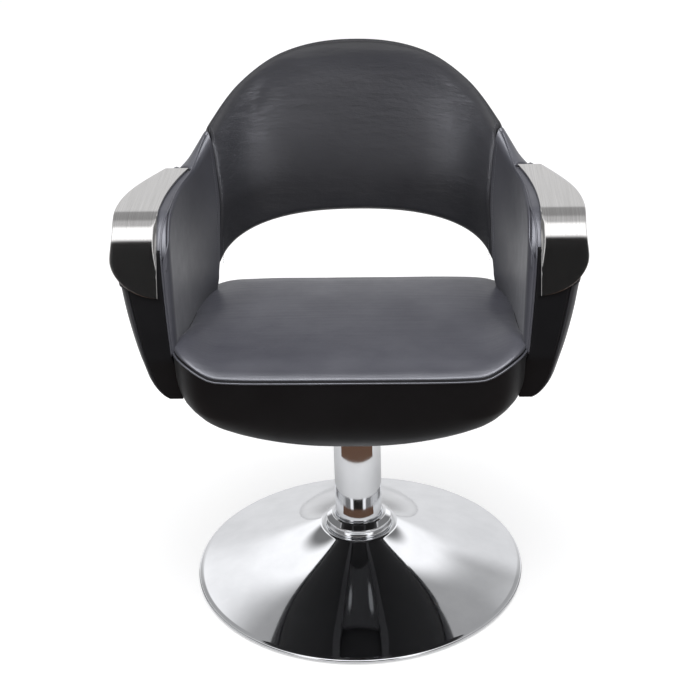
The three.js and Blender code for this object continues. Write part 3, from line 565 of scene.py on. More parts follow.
def rounded_steps(steps, start, corner, depth):
    """Steps (angle, depth) round the arm's front corner, added to those that lead up to it."""
    turns = arc(9, 0, 90)[1:]
    return [*((angle, 0.0) for angle in np.linspace(start, FRONT_ANGLE - corner, steps)),
            *((FRONT_ANGLE - corner * (1 - math.sin(t)), depth * (1 - math.cos(t))) for t in turns)]


# ---- materials
class Graph:
    """A node tree, built by short calls."""

    def __init__(self, tree):
        self.tree = tree

    def feed(self, node, values):
        """Sets a node's inputs, each to a value or to another node's output."""
        for name, value in values.items():
            if isinstance(value, bpy.types.NodeSocket):
                self.tree.links.new(value, node.inputs[name])
            else:
                node.inputs[name].default_value = value

    def node(self, kind, values=None):
        node = self.tree.nodes.new("ShaderNode" + kind)
        self.feed(node, values or {})
        return node

    def position(self, scale=(1, 1, 1)):
        """Object coordinates, stretched."""
        spot = self.node("TexCoord").outputs["Object"]
        return self.node("Mapping", {"Vector": spot, "Scale": scale}).outputs["Vector"]

    def noise(self, vector, scale, detail=3.0, roughness=0.5):
        values = {"Vector": vector, "Scale": scale, "Detail": detail, "Roughness": roughness}
        return self.node("TexNoise", values).outputs["Fac"]

    def bands(self, factor, stops, easing="LINEAR"):
        """Colours along a factor, from (place, colour) pairs."""
        node = self.node("ValToRGB", {"Fac": factor})
        node.color_ramp.interpolation = easing
        elements = node.color_ramp.elements
        while len(elements) < len(stops):
            elements.new(0.5)
        for element, (place, colour) in zip(elements, stops):
            element.position = place
            element.color = (*colour, 1)
        return node.outputs["Color"]

    def ramp(self, factor, low, high):
        return self.bands(factor, [(0.3, low), (0.7, high)])

    def spread(self, factor, low, high):
        return self.node("MapRange", {"Value": factor, "To Min": low, "To Max": high}).outputs["Result"]

    def bump(self, height, strength, distance, normal=None):
        values = {"Height": height, "Strength": strength, "Distance": distance}
        if normal is not None:
            values["Normal"] = normal
        return self.node("Bump", values).outputs["Normal"]

    def maths(self, operation, *values):
        node = self.node("Math")
        node.operation = operation
        self.feed(node, dict(enumerate(values)))
        return node.outputs[0]


def new_material(name):
    material = bpy.data.materials.new(name)
    material.use_nodes = True
    return material, Graph(material.node_tree), material.node_tree.nodes["Principled BSDF"]


def vinyl_material(name, creases=0.0, crease_scale=(1, 1, 1), painted_shade_factor=1.0, gloss=0.62, rough=0.38):
    """Semi-gloss black upholstery vinyl: pebbled grain, soft wear in the gloss and, where asked, fine creases
    that run across the panel. A factor below 1 darkens the colour as painted shade."""
    material, graph, shader = new_material(name)
    plain = graph.position()
    cloud = graph.noise(plain, 9, 4)
    # The mottling's colours are scaled by the painted shade factor.
    low, high = ([painted_shade_factor * part for part in colour] for colour in (VINYL_LOW, VINYL_HIGH))
    smudge = graph.noise(plain, 34, 5, 0.6)
    pebble = graph.node("TexVoronoi")
    pebble.feature = "SMOOTH_F1"
    graph.feed(pebble, {"Vector": plain, "Scale": 620, "Smoothness": 0.6})
    normal = graph.bump(pebble.outputs["Distance"], 0.16, 0.0004)
    normal = graph.bump(graph.noise(plain, 240, 3), 0.10, 0.0006, normal)
    normal = graph.bump(graph.noise(plain, 16, 2), 0.12, 0.004, normal)
    if creases > 0:
        lines = graph.noise(graph.position(crease_scale), 3.2, 6, 0.62)
        normal = graph.bump(lines, creases, 0.005, normal)
    graph.feed(shader, {
        "Base Color": graph.ramp(cloud, low, high), "Normal": normal,
        "Roughness": graph.spread(smudge, rough, rough + 0.16),
        "Specular IOR Level": gloss, "Sheen Weight": 0.05, "Sheen Roughness": 0.4,
    })
    return material


def chrome_material():
    """Mirror chrome with the slight waviness of pressed sheet and faint wipe marks."""
    material, graph, shader = new_material("chrome_plate")
    plain = graph.position()
    marks = graph.noise(graph.position((1, 1, 6)), 70, 5, 0.7)
    waves = graph.bump(graph.noise(plain, 5.5, 1.5, 0.3), 0.14, 0.004)
    graph.feed(shader, {
        "Base Color": graph.ramp(graph.noise(plain, 22, 4), (0.80, 0.81, 0.83), (0.87, 0.88, 0.90)),
        "Roughness": graph.spread(marks, 0.025, 0.075), "Metallic": 1,
        "Normal": graph.bump(graph.noise(plain, 13, 1, 0.2), 0.05, 0.002, waves),
    })
    return material


def brushed_material():
    """Satin steel brushed along the arm."""
    material, graph, shader = new_material("brushed_cap")
    lines = graph.noise(graph.position((1500, 6, 6)), 1, 4, 0.6)
    fine = graph.noise(graph.position((4200, 22, 22)), 1, 3, 0.6)
    graph.feed(shader, {
        "Base Color": graph.ramp(lines, (0.58, 0.57, 0.56), (0.76, 0.75, 0.74)),
        "Roughness": graph.spread(fine, 0.09, 0.18), "Metallic": 1, "Anisotropic": 0.55,
        "Normal": graph.bump(fine, 0.05, 0.0001, graph.bump(lines, 0.05, 0.0002)),
    })
    return material


def metal_material(name, dark, light, roughness, metallic=1.0, grain=90):
    """Plain metal or rubber: mottled colour, uneven gloss and a fine surface."""
    material, graph, shader = new_material(name)
    plain = graph.position()
    mottle = graph.noise(plain, grain, 4, 0.6)
    graph.feed(shader, {
        "Base Color": graph.ramp(mottle, dark, light), "Metallic": metallic,
        "Roughness": graph.spread(mottle, roughness - 0.08, roughness + 0.08),
        "Normal": graph.bump(graph.noise(plain, grain * 9, 3), 0.12, 0.0004),
    })
    return material


def wood_material():
    """Birch plywood: long grain with thin darker lines."""
    material, graph, shader = new_material("plywood_board")
    grain = graph.noise(graph.position((3, 40, 120)), 2.5, 6, 0.65)
    graph.feed(shader, {
        "Base Color": graph.ramp(grain, (0.36, 0.23, 0.12), (0.58, 0.42, 0.26)),
        "Roughness": graph.spread(grain, 0.55, 0.75),
        "Normal": graph.bump(grain, 0.2, 0.0005),
    })
    return material


def thread_material():
    """Waxed polyester thread, twisted."""
    material, graph, shader = new_material("thread")
    twist = graph.noise(graph.position(), 1400, 2)
    graph.feed(shader, {
        "Base Color": graph.ramp(twist, (0.10, 0.10, 0.11), (0.20, 0.20, 0.22)),
        "Normal": graph.bump(twist, 0.4, 0.0003), "Roughness": 0.6,
    })
    return material


MATERIALS = {
    "chrome": chrome_material(),
    "brushed_steel": brushed_material(),
    "steel": metal_material("zinc_steel", (0.42, 0.43, 0.44), (0.60, 0.61, 0.62), 0.34),
    "cast_iron": metal_material("cast_iron_black", (0.02,) * 3, (0.05, 0.05, 0.052), 0.62, 0.4, 160),
    "rubber": metal_material("black_rubber", (0.012, 0.012, 0.013), (0.028, 0.028, 0.03), 0.72, 0, 130),
    "bronze": metal_material("bearing_bronze", (0.46, 0.29, 0.12), (0.66, 0.45, 0.20), 0.36),
    "plywood": wood_material(),
    "painted_steel": metal_material(
        "powder_coat", (0.016, 0.016, 0.018), (0.032, 0.032, 0.035), 0.38, 0, 210),
    "vinyl": vinyl_material("vinyl_plain"),
}
# Painted shade: a darker copy of the vinyl, with 0.3 of its colour and less gloss, for the front faces that
# face the dark floor in front.
VINYL_PAINTED_SHADE = vinyl_material("vinyl_front", 0.0, (1, 1, 1), 0.3, 0.24)
VINYL_BACK = vinyl_material("vinyl_back", 0.5, (5, 5, 16), rough=0.35)
VINYL_SEAT = vinyl_material("vinyl_seat", 0.12, (1.8, 40, 10))
THREAD = thread_material()

# Fill lights reach only the upholstery that faces them, so that the chrome stays free of them
FLOOR_LIT = bpy.data.collections.new("floor_lit")
TOP_LIT = bpy.data.collections.new("top_lit")
LIT_PIECES = {
    FLOOR_LIT: ("back_inner",),
    TOP_LIT: ("seat_cushion", "seat_welt", "arm_inner", "armrest_block", "shoulder", "arm_welt"),
}


def finish_piece(obj, slot, body, *nodes, material=None):
    """Gives a piece its material, the body that it rides on and the CAD nodes it stands for."""
    obj.data.materials.clear()
    obj.data.materials.append(material or MATERIALS[slot])
    for collection, pieces in LIT_PIECES.items():
        if obj.name.startswith(pieces):
            collection.objects.link(obj)
    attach(obj, body)
    if nodes:
        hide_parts(*nodes)


# ---- base and column
def dome_height(radius):
    """Height of the dome's upper face: straight at first, then steep towards the boss."""
    inward = (BASE_RADIUS - radius) / (BASE_RADIUS - BOSS_RADIUS)
    return lerp(BASE_LIP, BOSS_HEIGHT, lerp(inward, inward**4, DOME_FLARE))


def build_dome():
    """Spun dome: a flat boss, a flare that eases towards the floor and a rolled rim."""
    hole = COLUMN_RADIUS + FIT
    width = BASE_RADIUS - BOSS_RADIUS - 0.006
    radii = BOSS_RADIUS + 0.002 + width * np.linspace(0, 1, 56) ** 1.3
    flare = [(r, dome_height(r)) for r in radii]
    start = [(hole, BOSS_HEIGHT), (BOSS_RADIUS - 0.003, BOSS_HEIGHT), (BOSS_RADIUS, BOSS_HEIGHT - 0.0003)]
    rim = []
    for turn in arc(10, 75, -75):
        rim.append((BASE_RADIUS - 0.0034 + 0.0034 * math.cos(turn), 0.0052 + 0.0033 * math.sin(turn)))
    inner = [(r - 0.001, z - SHEET) for r, z in flare[::-4]]
    end = [(BOSS_RADIUS - 0.004, BOSS_HEIGHT - SHEET), (hole, BOSS_HEIGHT - SHEET), start[0]]
    dome = lathe("base_dome_fine", [*start, *flare, *rim, *inner, *end], 220)
    finish_piece(dome, "chrome", "base", "base_dome")


def turned_piece(node, bore, section, slot, body, segments=144, steps=6):
    """Replaces a turned node: a section of corners (x, y, rounding) closed along its bore."""
    low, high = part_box(node)
    corners = [(bore, low.z, 0), *section(low, high), (bore, low.z, 0)]
    finish_piece(lathe(node + "_fine", filleted(corners, steps), segments), slot, body, node)


def build_collars():
    bore = COLUMN_RADIUS + FIT
    turned_piece("lower_collar", bore, lambda low, high: [
        (high.x, low.z, 0.0006), (high.x, low.z + 0.0045, 0.0022),
        (high.x - 0.0035, high.z, 0.0020), (bore, high.z, 0),
    ], "chrome", "base")
    turned_piece("upper_collar", bore, lambda low, high: [
        (high.x, low.z, 0.0010), (high.x, low.z + 0.0042, 0.0024),
        (COLUMN_RADIUS + 0.0065, high.z - 0.0008, 0.0030), (COLUMN_RADIUS + 0.0030, high.z, 0.0012),
        (bore, high.z, 0),
    ], "chrome", "base")


def rounded_bar(name, centre, size, radius):
    """A bar along Y whose four long edges are rounded."""
    obj = extruded(name, [
        (centre[1] + sy * size[1] / 2, centre[2] + sz * size[2] / 2)
        for sy, sz in ((-1, -1), (1, -1), (1, 1), (-1, 1))
    ], size[0], centre[0])
    return bevel(obj, radius, 5, 30)


def build_column():
    """Chrome outer tube with a slot at the back for the lever."""
    low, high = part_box("column_tube")
    bore = COLUMN_RADIUS - SHEET
    corners = [
        (bore, low.z, 0), (COLUMN_RADIUS, low.z, 0.0008), (COLUMN_RADIUS, high.z, 0.0010),
        (bore, high.z, 0.0008), (bore, low.z, 0),
    ]
    column = lathe("column_tube_fine", filleted(corners), 160)
    lever_low, lever_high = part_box("foot_lever")
    pin_z = sum(corner.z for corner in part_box("lever_pin")) / 2
    slot_width = lever_high.x - lever_low.x + 0.008
    cutter = rounded_bar("slot_cutter", (0, COLUMN_RADIUS, pin_z), (slot_width, 0.030, 0.034), 0.005)
    modifier = column.modifiers.new("Slot", "BOOLEAN")
    modifier.object = cutter
    modifier.solver = "EXACT"
    apply_modifiers(column)
    bpy.data.objects.remove(cutter)
    shade_by_angle(column)
    finish_piece(column, "chrome", "base", "column_tube")


def build_floor_ring():
    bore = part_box("floor_ring")[1].x - 0.022
    turned_piece("floor_ring", bore, lambda low, high: [
        (bore + 0.004, low.z, 0.0008), (high.x - 0.004, low.z, 0.0008),
        (high.x, low.z + 0.0015, 0.0008), (high.x, high.z, 0.0006), (bore, high.z, 0.0006),
    ], "rubber", "base", 160)


def build_hub():
    """Flared hub that carries the seat on the rod."""
    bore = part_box("piston_rod")[1].x + FIT
    neck = COLUMN_RADIUS - 0.001
    turned_piece("swivel_hub", bore, lambda low, high: [
        (neck, low.z, 0.0010), (neck, low.z + 0.014, 0.010), (COLUMN_RADIUS + 0.008, low.z + 0.032, 0.012),
        (high.x - 0.002, high.z - 0.006, 0.004), (high.x, high.z - 0.0004, 0.001), (bore, high.z, 0),
    ], "painted_steel", "seat", 128, 8)


# ---- foot lever
def build_lever():
    """Foot lever: a bar that is deeper at its pin and dips towards the pedal."""
    low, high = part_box("foot_lever")
    pin_low, pin_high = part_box("lever_pin")
    pin_y, pin_z = (pin_low.y + pin_high.y) / 2, (pin_low.z + pin_high.z) / 2
    depth = 0.009
    top, bottom = [], []
    for t in np.linspace(0, 1, 40):
        y = lerp(pin_y, high.y, t)
        drop = 0.016 * float(smoothstep(y, 0.130, 0.232))
        half = lerp(depth / 2 + 0.0028, depth / 2, float(smoothstep(t, 0, 0.35)))
        top.append((y, pin_z - drop + half))
        bottom.append((y, pin_z - drop - half))
    root = low.y
    outline = [(root, pin_z - depth / 2), *bottom, *top[::-1], (root, pin_z + depth / 2)]
    lever = extruded("foot_lever_fine", outline, high.x - low.x)
    bevel(lever, 0.0022, 4, 40)
    shade_by_angle(lever, 30)
    finish_piece(lever, "chrome", "lever", "foot_lever")


def build_spring():
    """The plunger's return spring, a coil of wire at one fixed length."""
    low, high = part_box("plunger_spring")
    centre_y = (low.y + high.y) / 2
    coil = (high.y - low.y) / 2 - SPRING_WIRE
    length = high.z - low.z - 2 * SPRING_WIRE
    points = []
    for t in np.linspace(0, 1, SPRING_TURNS * 28 + 1):
        turn = 2 * math.pi * SPRING_TURNS * t
        height = low.z + SPRING_WIRE + length * t
        points.append((coil * math.cos(turn), centre_y + coil * math.sin(turn), height))
    spring = tube("plunger_spring_fine", points, SPRING_WIRE, 8)
    finish_piece(spring, "steel", "base", "plunger_spring")
    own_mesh(spring)


def build_pedal():
    """Rubber foot pad with raised ribs across it."""
    low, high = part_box("pedal_pad")
    centre_y, half_y = (low.y + high.y) / 2, (high.y - low.y) / 2
    rounding, edge, rib_ends = 0.009, 0.0012, high.x * 0.72
    outline = []
    for cx, cy, start in ((1, 1, 0), (-1, 1, 90), (-1, -1, 180), (1, -1, 270)):
        for turn in arc(8, start, start + 90):
            outline.append((
                cx * (high.x - rounding) + rounding * math.cos(turn),
                centre_y + cy * (half_y - rounding) + rounding * math.sin(turn),
            ))
    top = high.z - edge
    pad = prism("pedal_pad_base", *([(x, y, z) for x, y in outline] for z in (low.z, top)))
    ribs = []
    for y in np.linspace(low.y + 0.007, high.y - 0.007, 6):
        line = [(x, y, top) for x in np.linspace(-rib_ends, rib_ends, 9)]
        ribs.append(tube("pedal_rib", line, edge))
    pad = joined("pedal_pad_fine", [bevel(pad, edge, 3, 50), *ribs])
    shade_by_angle(pad, 40)
    finish_piece(pad, "rubber", "lever", "pedal_pad")


# ---- seat
def seat_rim(y, x):
    """Height of the seam between shell and cushion: it falls to the back, and the front corners
    rise towards the arms."""
    side = smoothstep(np.abs(x), SEAT_HALF_WIDTH - 0.060, SEAT_HALF_WIDTH + 0.008)
    side = side * smoothstep(-y, -0.020, 0.170)
    return SEAT_FRONT_TOP - (y - (SEAT_CENTRE_Y - SEAT_HALF_DEPTH)) * SEAT_SLOPE + SEAT_SIDE_RISE * side


def seat_plan(turn, share, inset):
    """A point of the seat's plan outline at a share of the shell's height."""
    grow = 1 - (1 - share) ** 4
    c, s = np.cos(turn), np.sin(turn)
    rear = smoothstep(s, -0.25, 0.25)
    half_x = (SEAT_HALF_WIDTH + SEAT_FRONT_WIDER * (1 - rear)) * grow ** (1 / 1.75) - inset
    half_y = SEAT_HALF_DEPTH * grow ** (1 / 9) - inset
    power = lerp(lerp(3.0, FRONT_CORNER, np.clip(share * 2, 0, 1)), REAR_CORNER, rear)
    x = half_x * np.sign(c) * np.abs(c) ** (2 / power)
    y = SEAT_CENTRE_Y + half_y * np.sign(s) * np.abs(s) ** (2 / power)
    return x, y


def ring_turns(count):
    """Directions round the seat, bunched so that the points are evenly spaced along the outline."""
    fine = np.linspace(0, 2 * math.pi, 4001)
    x, y = seat_plan(fine, 1.0, 0.0)
    run = np.concatenate([[0], np.cumsum(np.hypot(np.diff(x), np.diff(y)))])
    return np.interp(np.linspace(0, run[-1], count, endpoint=False), run, fine)


def rings_to_object(name, rings):
    """A closed solid through rings of points, closed by a fan at both ends."""
    count = len(rings[0])
    vertices = [p for ring in rings for p in ring]
    faces = ring_faces(len(rings), count)
    for level in (0, len(rings) - 1):
        centre = len(vertices)
        vertices.append(np.mean(rings[level], axis=0))
        for i in range(count):
            faces.append((centre, level * count + i, level * count + (i + 1) % count))
    return mesh_object(name, vertices, faces)


def seat_ring(turns, share, inset, level, lift=0.0):
    """A ring round the seat: its plan at a share of the height, moved in, at a level between the
    bottom (0) and the seam (1)."""
    x, y = seat_plan(turns, share, inset)
    return np.stack([x, y, lerp(SEAT_BOTTOM, seat_rim(y, x), level) + lift], axis=-1)


def shrunk(ring, scale, level, lift=0.0):
    """A ring drawn in towards the seat's middle, at a level between bottom and seam."""
    x, y = ring[:, 0] * scale, SEAT_CENTRE_Y + (ring[:, 1] - SEAT_CENTRE_Y) * scale
    return np.stack([x, y, lerp(SEAT_BOTTOM, seat_rim(y, x), level) + lift], axis=-1)


def build_seat_shell(turns):
    """Upholstered bucket: full at the front, drawn in under the seat, open at the top."""
    foot, lip, lip_radius = 0.004, 0.94, 0.005
    lowest = seat_ring(turns, foot, 0.0, foot)
    rings = [shrunk(lowest, part, foot) for part in (0.15, 0.4, 0.7)]
    for share in (foot, 0.012, 0.022, *np.linspace(0.036, lip, 44)):
        rings.append(seat_ring(turns, share, 0.0, share))
    for turn in arc(6, 15, 90):
        inset, lift = lip_radius * (1 - math.cos(turn)), lip_radius * math.sin(turn)
        rings.append(seat_ring(turns, 0.96, inset, lip, lift))
    for share, inset, level in ((0.96, 0.012, 0.93), (0.8, 0.013, 0.8), (0.5, 0.014, 0.55)):
        rings.append(seat_ring(turns, share, inset, level))
    shell = rings_to_object("seat_shell_cover", rings)
    # The shell's front gets the darker vinyl copy, which is painted shade.
    finish_piece(shell, "vinyl", "seat", "seat_shell", material=VINYL_PAINTED_SHADE)


def build_seat_cushion(turns):
    """Seat pad: a low crown that rolls over to the seam with the shell."""
    roll, underside = 0.0036, -0.040
    edge = seat_ring(turns, 1.0, 0.003, 1.0)
    rings = [shrunk(edge, scale, 1.0, underside) for scale in (0.25, 0.55, 0.85)]
    for share, inset, lift in ((0.97, 0.020, underside), (1.0, 0.013, -0.034), (1.0, 0.009, -0.016)):
        rings.append(seat_ring(turns, share, inset, 1.0, lift))
    for turn in arc(9, -80, 70):
        inset = 0.0015 + roll * (1 - math.cos(turn))
        rings.append(seat_ring(turns, 1.0, inset, 1.0, -0.002 + roll * math.sin(turn)))
    for scale in 1 - np.linspace(0.035, 0.97, 30):
        rings.append(shrunk(edge, scale, 1.0, 0.0045 + SEAT_CROWN * (1 - scale**2.4)))
    pad = rings_to_object("seat_cushion_cover", rings)
    spots = np.array([v.co for v in pad.data.vertices])
    pins = np.where(spots[:, 2] < seat_rim(spots[:, 1], spots[:, 0]) - 0.004, 1.0, 0.0)
    puff(pad, pins, 3.0, 0.004)
    subdivide(pad)
    finish_piece(pad, "vinyl", "seat", "seat_cushion", material=VINYL_SEAT)


# ---- tub upholstery
def pad_piece(name, grid, outward, thickness, rolls, node, material=None, pressure=0.0, most=0.0):
    """One panel of upholstery from its visible skin: swollen, smoothed, and given its material, its body and
    the CAD node it stands for.
    """
    obj, pins = shell_from_grid(name, grid, outward, thickness, rolls)
    if pressure > 0:
        puff(obj, pins, pressure, most)
    subdivide(obj)
    obj.data.polygons.foreach_set("use_smooth", [True] * len(obj.data.polygons))
    finish_piece(obj, "vinyl", "seat", node, material=material)


def build_back():
    """Back pads: each runs from the middle of the opening's upper edge over its face to the
    middle of the rim."""
    for name, face, outward, pressure in (("inner", 0, (0, -1, 0), 4.0), ("outer", 1, (0, 1, 0), 3.0)):
        def column(angle):
            rounds = (0.014, lerp(0.020, 0.016, thick_at(angle)))
            return angle, *wall_profile(opening_top(angle), wall_top(angle), (0.5, 0.5), rounds, face)

        grid = wall_grid(np.linspace(-BACK_HALF, BACK_HALF, 86)[:, None], column)
        pad_piece(f"back_{name}_cover", grid, outward, 0.012, (0.0022, 0.0022, 0.002, 0.002),
                  f"back_{name}_pad", VINYL_BACK, pressure, 0.004)


def core_panel(name, angles, low, high, outward):
    """One bent board inside the wall, between two heights given by angle."""
    def column(angle):
        return angle, np.linspace(low(angle), high(angle), 24), 0.36 * (1 - 0.45 * thick_at(angle))

    return shell_from_grid(name, wall_grid(angles[:, None], column), outward, CORE_BOARD, (0, 0, 0, 0))[0]


def build_core():
    """Plywood tub inside the upholstery: a back above the opening, a band below it and two arms."""
    half = BACK_HALF + CORE_OVERLAP
    across = np.linspace(-half, half, 60)
    top = lambda angle: wall_top(angle) - CORE_INSET
    foot = lambda angle: wall_bottom(angle) + CORE_INSET
    above = lambda angle: opening_top(angle) + CORE_INSET
    below = lambda angle: opening_bottom(angle) - CORE_INSET
    parts = [core_panel("tub_core_back", across, above, top, (0, -1, 0)),
             core_panel("tub_core_band", across, foot, below, (0, -1, 0))]
    for sign in SIDES.values():
        arm = sign * np.linspace(half, FRONT_ANGLE - CORE_OVERLAP, 50)
        parts.append(core_panel("tub_core_arm", arm, foot, top, (-sign, 0, 0)))
    core = joined("tub_core_fine", parts)
    shade_by_angle(core, 30)
    finish_piece(core, "plywood", "seat", "tub_core")


def build_rear_band():
    """Low band behind the seat, under the opening: outer pad and lining."""
    for name, node, face, outward, lowest in (
            ("rear_band_cover", "rear_band_pad", 1.0, (0, 1, 0), 0),
            ("rear_band_lining_cover", "rear_band_lining", 0.02, (0, -1, 0), OPENING_BOTTOM - 0.030)):
        def column(angle):
            low = max(wall_bottom(angle), lowest)
            return angle, *wall_profile(low, opening_bottom(angle), (0.5, 0.5), (0.008, 0.010), face, 10)

        grid = wall_grid(np.linspace(-BACK_HALF, BACK_HALF, 80)[:, None], column)
        pad_piece(name, grid, outward, 0.006, (0.003, 0.003, 0.001, 0.0005), node)


def rim_middle(angle):
    """Depth where the inner and the outer upholstery meet on the rim."""
    return lerp(0.5, RIM_SEAM_DEPTH, thick_at(angle))


def jamb_depth(z, most, face):
    """The face's depth above the opening, and at most the given depth beside it."""
    beside = 1 - smoothstep(z, OPENING_SIDE - 0.004, OPENING_SIDE + 0.016)
    return lerp(face, most, beside)


def build_arm(side, sign):
    """Inner pad, shoulder, side, front and the block under the cap."""
    build_arm_inner(side, sign)
    build_shoulder(side, sign)
    build_arm_side(side, sign)
    build_arm_front(side, sign)
    build_armrest_block(side, sign)


def front_merge(z):
    """0 where the arm's front padding closes in on the seat, 1 above the seat's corner."""
    return smoothstep(z, 0.455, 0.515)


def build_arm_inner(side, sign):
    """Inner face of the arm: it folds into the opening's jamb behind and rolls round to the
    welt in front."""
    start = SEAM_ANGLE + SEAM_DEGREES
    folds = [(start + FOLD_STEP * i, 0.0, fold) for i, fold in enumerate(np.linspace(0.44, 0.0, 7))]
    steps = folds + rounded_steps(58, start + 0.9, CORNER_DEGREES, CORNER_DEPTH)

    def column(angle, corner, fold=0.0):
        rounds = (0.010, lerp(0.024, 0.010, thick_at(angle)))
        ends = (FOOT_INNER, rim_middle(angle))
        heights, depths = wall_profile(wall_bottom(angle), wall_top(angle), ends, rounds, 0)
        merge = front_merge(heights)
        depths = np.maximum(np.maximum(depths, jamb_depth(heights, fold, 0.0)), corner * merge)
        return np.minimum(angle, FRONT_ANGLE - 2.2 * (1 - merge)), heights, depths

    pad_piece(f"arm_inner_cover_{side}", wall_grid(steps, column, sign), (-sign, 0, 0), 0.010,
              (0.0012, 0.0020, 0.001, 0.0025), f"arm_inner_pad_{side}", None, 4.0, 0.004)


def build_shoulder(side, sign):
    """Outside of the wall between the back and the armrest."""
    start = SEAM_ANGLE + SEAM_DEGREES
    steps = [(start + FOLD_STEP * i, fold) for i, fold in enumerate((0.47, 0.6, 0.75, 0.88, 0.97, 1.0))]
    steps += [(angle, 1.0) for angle in np.linspace(start + 0.8, SHOULDER_ANGLE, 16)]

    def column(angle, fold):
        rounds = (0.012, lerp(0.024, 0.018, thick_at(angle)))
        ends = (FOOT_OUTER, rim_middle(angle) + 0.006)
        heights, depths = wall_profile(wall_bottom(angle), wall_top(angle), ends, rounds, 1)
        return angle, heights, np.minimum(depths, jamb_depth(heights, fold, 1.0))

    pad_piece(f"shoulder_cover_{side}", wall_grid(steps, column, sign), (sign, 1, 0), 0.010,
              (0.0012, 0.002, 0.001, 0.002), f"shoulder_outer_pad_{side}", None, 2.0, 0.0025)


def side_depth(z, low):
    """Depth of the side padding's rounded lower edge."""
    up = np.clip((z - low) / SIDE_ROUND, 0, 1)
    return lerp(FOOT_OUTER, 1.0, np.sqrt(1 - (1 - up) ** 2))


def build_arm_side(side, sign):
    """Outer face of the arm below the armrest block."""
    steps = rounded_steps(46, SHOULDER_ANGLE + SIDE_GAP, OUTER_CORNER_DEGREES, OUTER_CORNER_DEPTH)

    def column(angle, corner):
        low = wall_bottom(angle)
        heights, depths = wall_profile(low, ARMREST_BOTTOM, (FOOT_OUTER, 0.9), (SIDE_ROUND, 0.003), 1)
        return angle, heights, depths * (1 - corner)

    pad_piece(f"arm_side_cover_{side}", wall_grid(steps, column, sign), (sign, 0, 0), 0.010,
              (0.002, 0.0015, 0.001, 0.002), f"side_outer_pad_{side}", None, 3.0, 0.003)


def build_arm_front(side, sign):
    """Front face of the arm, from the inner seam to the outer corner. It closes in on the seat's
    corner at its foot."""
    low = wall_bottom(FRONT_ANGLE)
    foot = low + 0.0010 + 0.012 * np.linspace(0, 1, 8) ** 1.6
    heights = np.concatenate([foot, np.linspace(0.452, 0.658, 40)])
    inner = lerp(-0.10, CORNER_DEPTH + 0.006, front_merge(heights))
    outer = side_depth(heights, low) * (1 - OUTER_CORNER_DEPTH) - 0.006
    across = np.linspace(0, 1, 22)[:, None]
    grid = wall_grid(across, lambda t: (FRONT_ANGLE, heights, lerp(inner, outer, t)), sign)
    # The arm's front gets the darker vinyl copy, which is painted shade.
    pad_piece(f"arm_front_cover_{side}", grid, (0, -1, 0), 0.012, (0.0016, 0.0016, 0.0012, 0.001),
              f"arm_front_pad_{side}", VINYL_PAINTED_SHADE)


def build_armrest_block(side, sign):
    """Padded block under the cap: the outer face, the top and a strip beside the inner pad."""
    turn = arc(9, 0, 90)[1:]
    drop = np.linspace(0, 1, 6)[1:]
    inner, edge, outer = RIM_SEAM_DEPTH + 0.022, 0.90, 0.985
    depths = np.concatenate([np.full(16, outer), outer - (outer - edge) * (1 - np.cos(turn)),
                             np.linspace(edge, inner, 14), inner - 0.020 * np.sqrt(drop)])

    def column(angle):
        top = min(wall_top(angle), ARM_TOP) - 0.0003
        face = np.linspace(ARMREST_BOTTOM + 0.0006, top - 0.012, 16)
        return angle, np.concatenate([face, top - 0.012 + 0.012 * np.sin(turn), np.full(14, top),
                                      top - 0.018 * drop]), depths

    angles = np.linspace(SHOULDER_ANGLE + SIDE_GAP, FRONT_ANGLE - 0.1, 56)
    pad_piece(f"armrest_block_cover_{side}", wall_grid(angles[:, None], column, sign), (sign, 0, 0.3), 0.008,
              (0.001, 0.001, 0.0015, 0.001), f"armrest_block_{side}")


# ---- armrest caps
def cap_path():
    """The cap's upper surface in side view: (y, z, normal y, normal z) from the rear."""
    lean = math.atan(FRONT_LEAN)
    bend_angle = math.pi / 2 - lean
    bend_end = CAP_TOP - CAP_BEND * (1 - math.cos(bend_angle))
    face_y = float(front_edge(bend_end)) - CAP_THICKNESS - 0.0006
    bend_start = face_y + CAP_BEND * math.sin(bend_angle)
    path = [(lerp(CAP_REAR, bend_start, t), CAP_TOP, 0.0, 1.0) for t in np.linspace(0, 1, 34)]
    for t in np.linspace(0, 1, 26)[1:]:
        s, c = math.sin(t * bend_angle), math.cos(t * bend_angle)
        path.append((bend_start - CAP_BEND * s, CAP_TOP - CAP_BEND * (1 - c), -s, c))
    for t in np.linspace(0, 1, 40)[1:]:
        z = lerp(bend_end, CAP_FRONT_END, 1 - (1 - t) ** 1.6)
        path.append((face_y - FRONT_LEAN * (bend_end - z), z, -math.cos(lean), math.sin(lean)))
    return path


def cap_section(y, z):
    """Points (x, depth along the normal) round the cap's section at a point of its path."""
    edge, slant = 0.0011, 0.8
    plan_y = max(y, FRONT_Y + 0.001)
    inner = wall_x(plan_y, CAP_INNER_INSET)
    below = max(0.0, CAP_FRONT_END + CAP_TIP - z) / CAP_TIP
    flare = CAP_FLARE * smoothstep(CAP_TOP - z, 0, CAP_BEND)
    corner = CAP_TIP * 1.25 * (1 - math.sqrt(max(0.0, 1 - below**2)))
    outer = wall_x(plan_y, 1.0) + 0.001 + flare - corner
    curl = CAP_CURL * smoothstep(z, 0.612, 0.672) * (1 - smoothstep(z, 0.686, CAP_TOP))
    drop = slant * curl
    section = []
    for x in lerp(inner + edge, outer - edge, np.linspace(0, 1, 17) ** 1.5):
        section.append((x, -slant * max(0.0, curl - (x - inner))))
    for turn in arc(6, 90, 0)[1:]:
        section.append((outer - edge + edge * math.cos(turn), edge * (math.sin(turn) - 1)))
    section += [(outer, -CAP_THICKNESS + 0.0002), (outer - 0.0004, -CAP_THICKNESS),
                (inner + 0.0004, -CAP_THICKNESS - drop), (inner, -CAP_THICKNESS + 0.0002 - drop)]
    for turn in arc(6, 180, 90)[:-1]:
        section.append((inner + edge + edge * math.cos(turn), edge * (math.sin(turn) - 1) - drop))
    return section


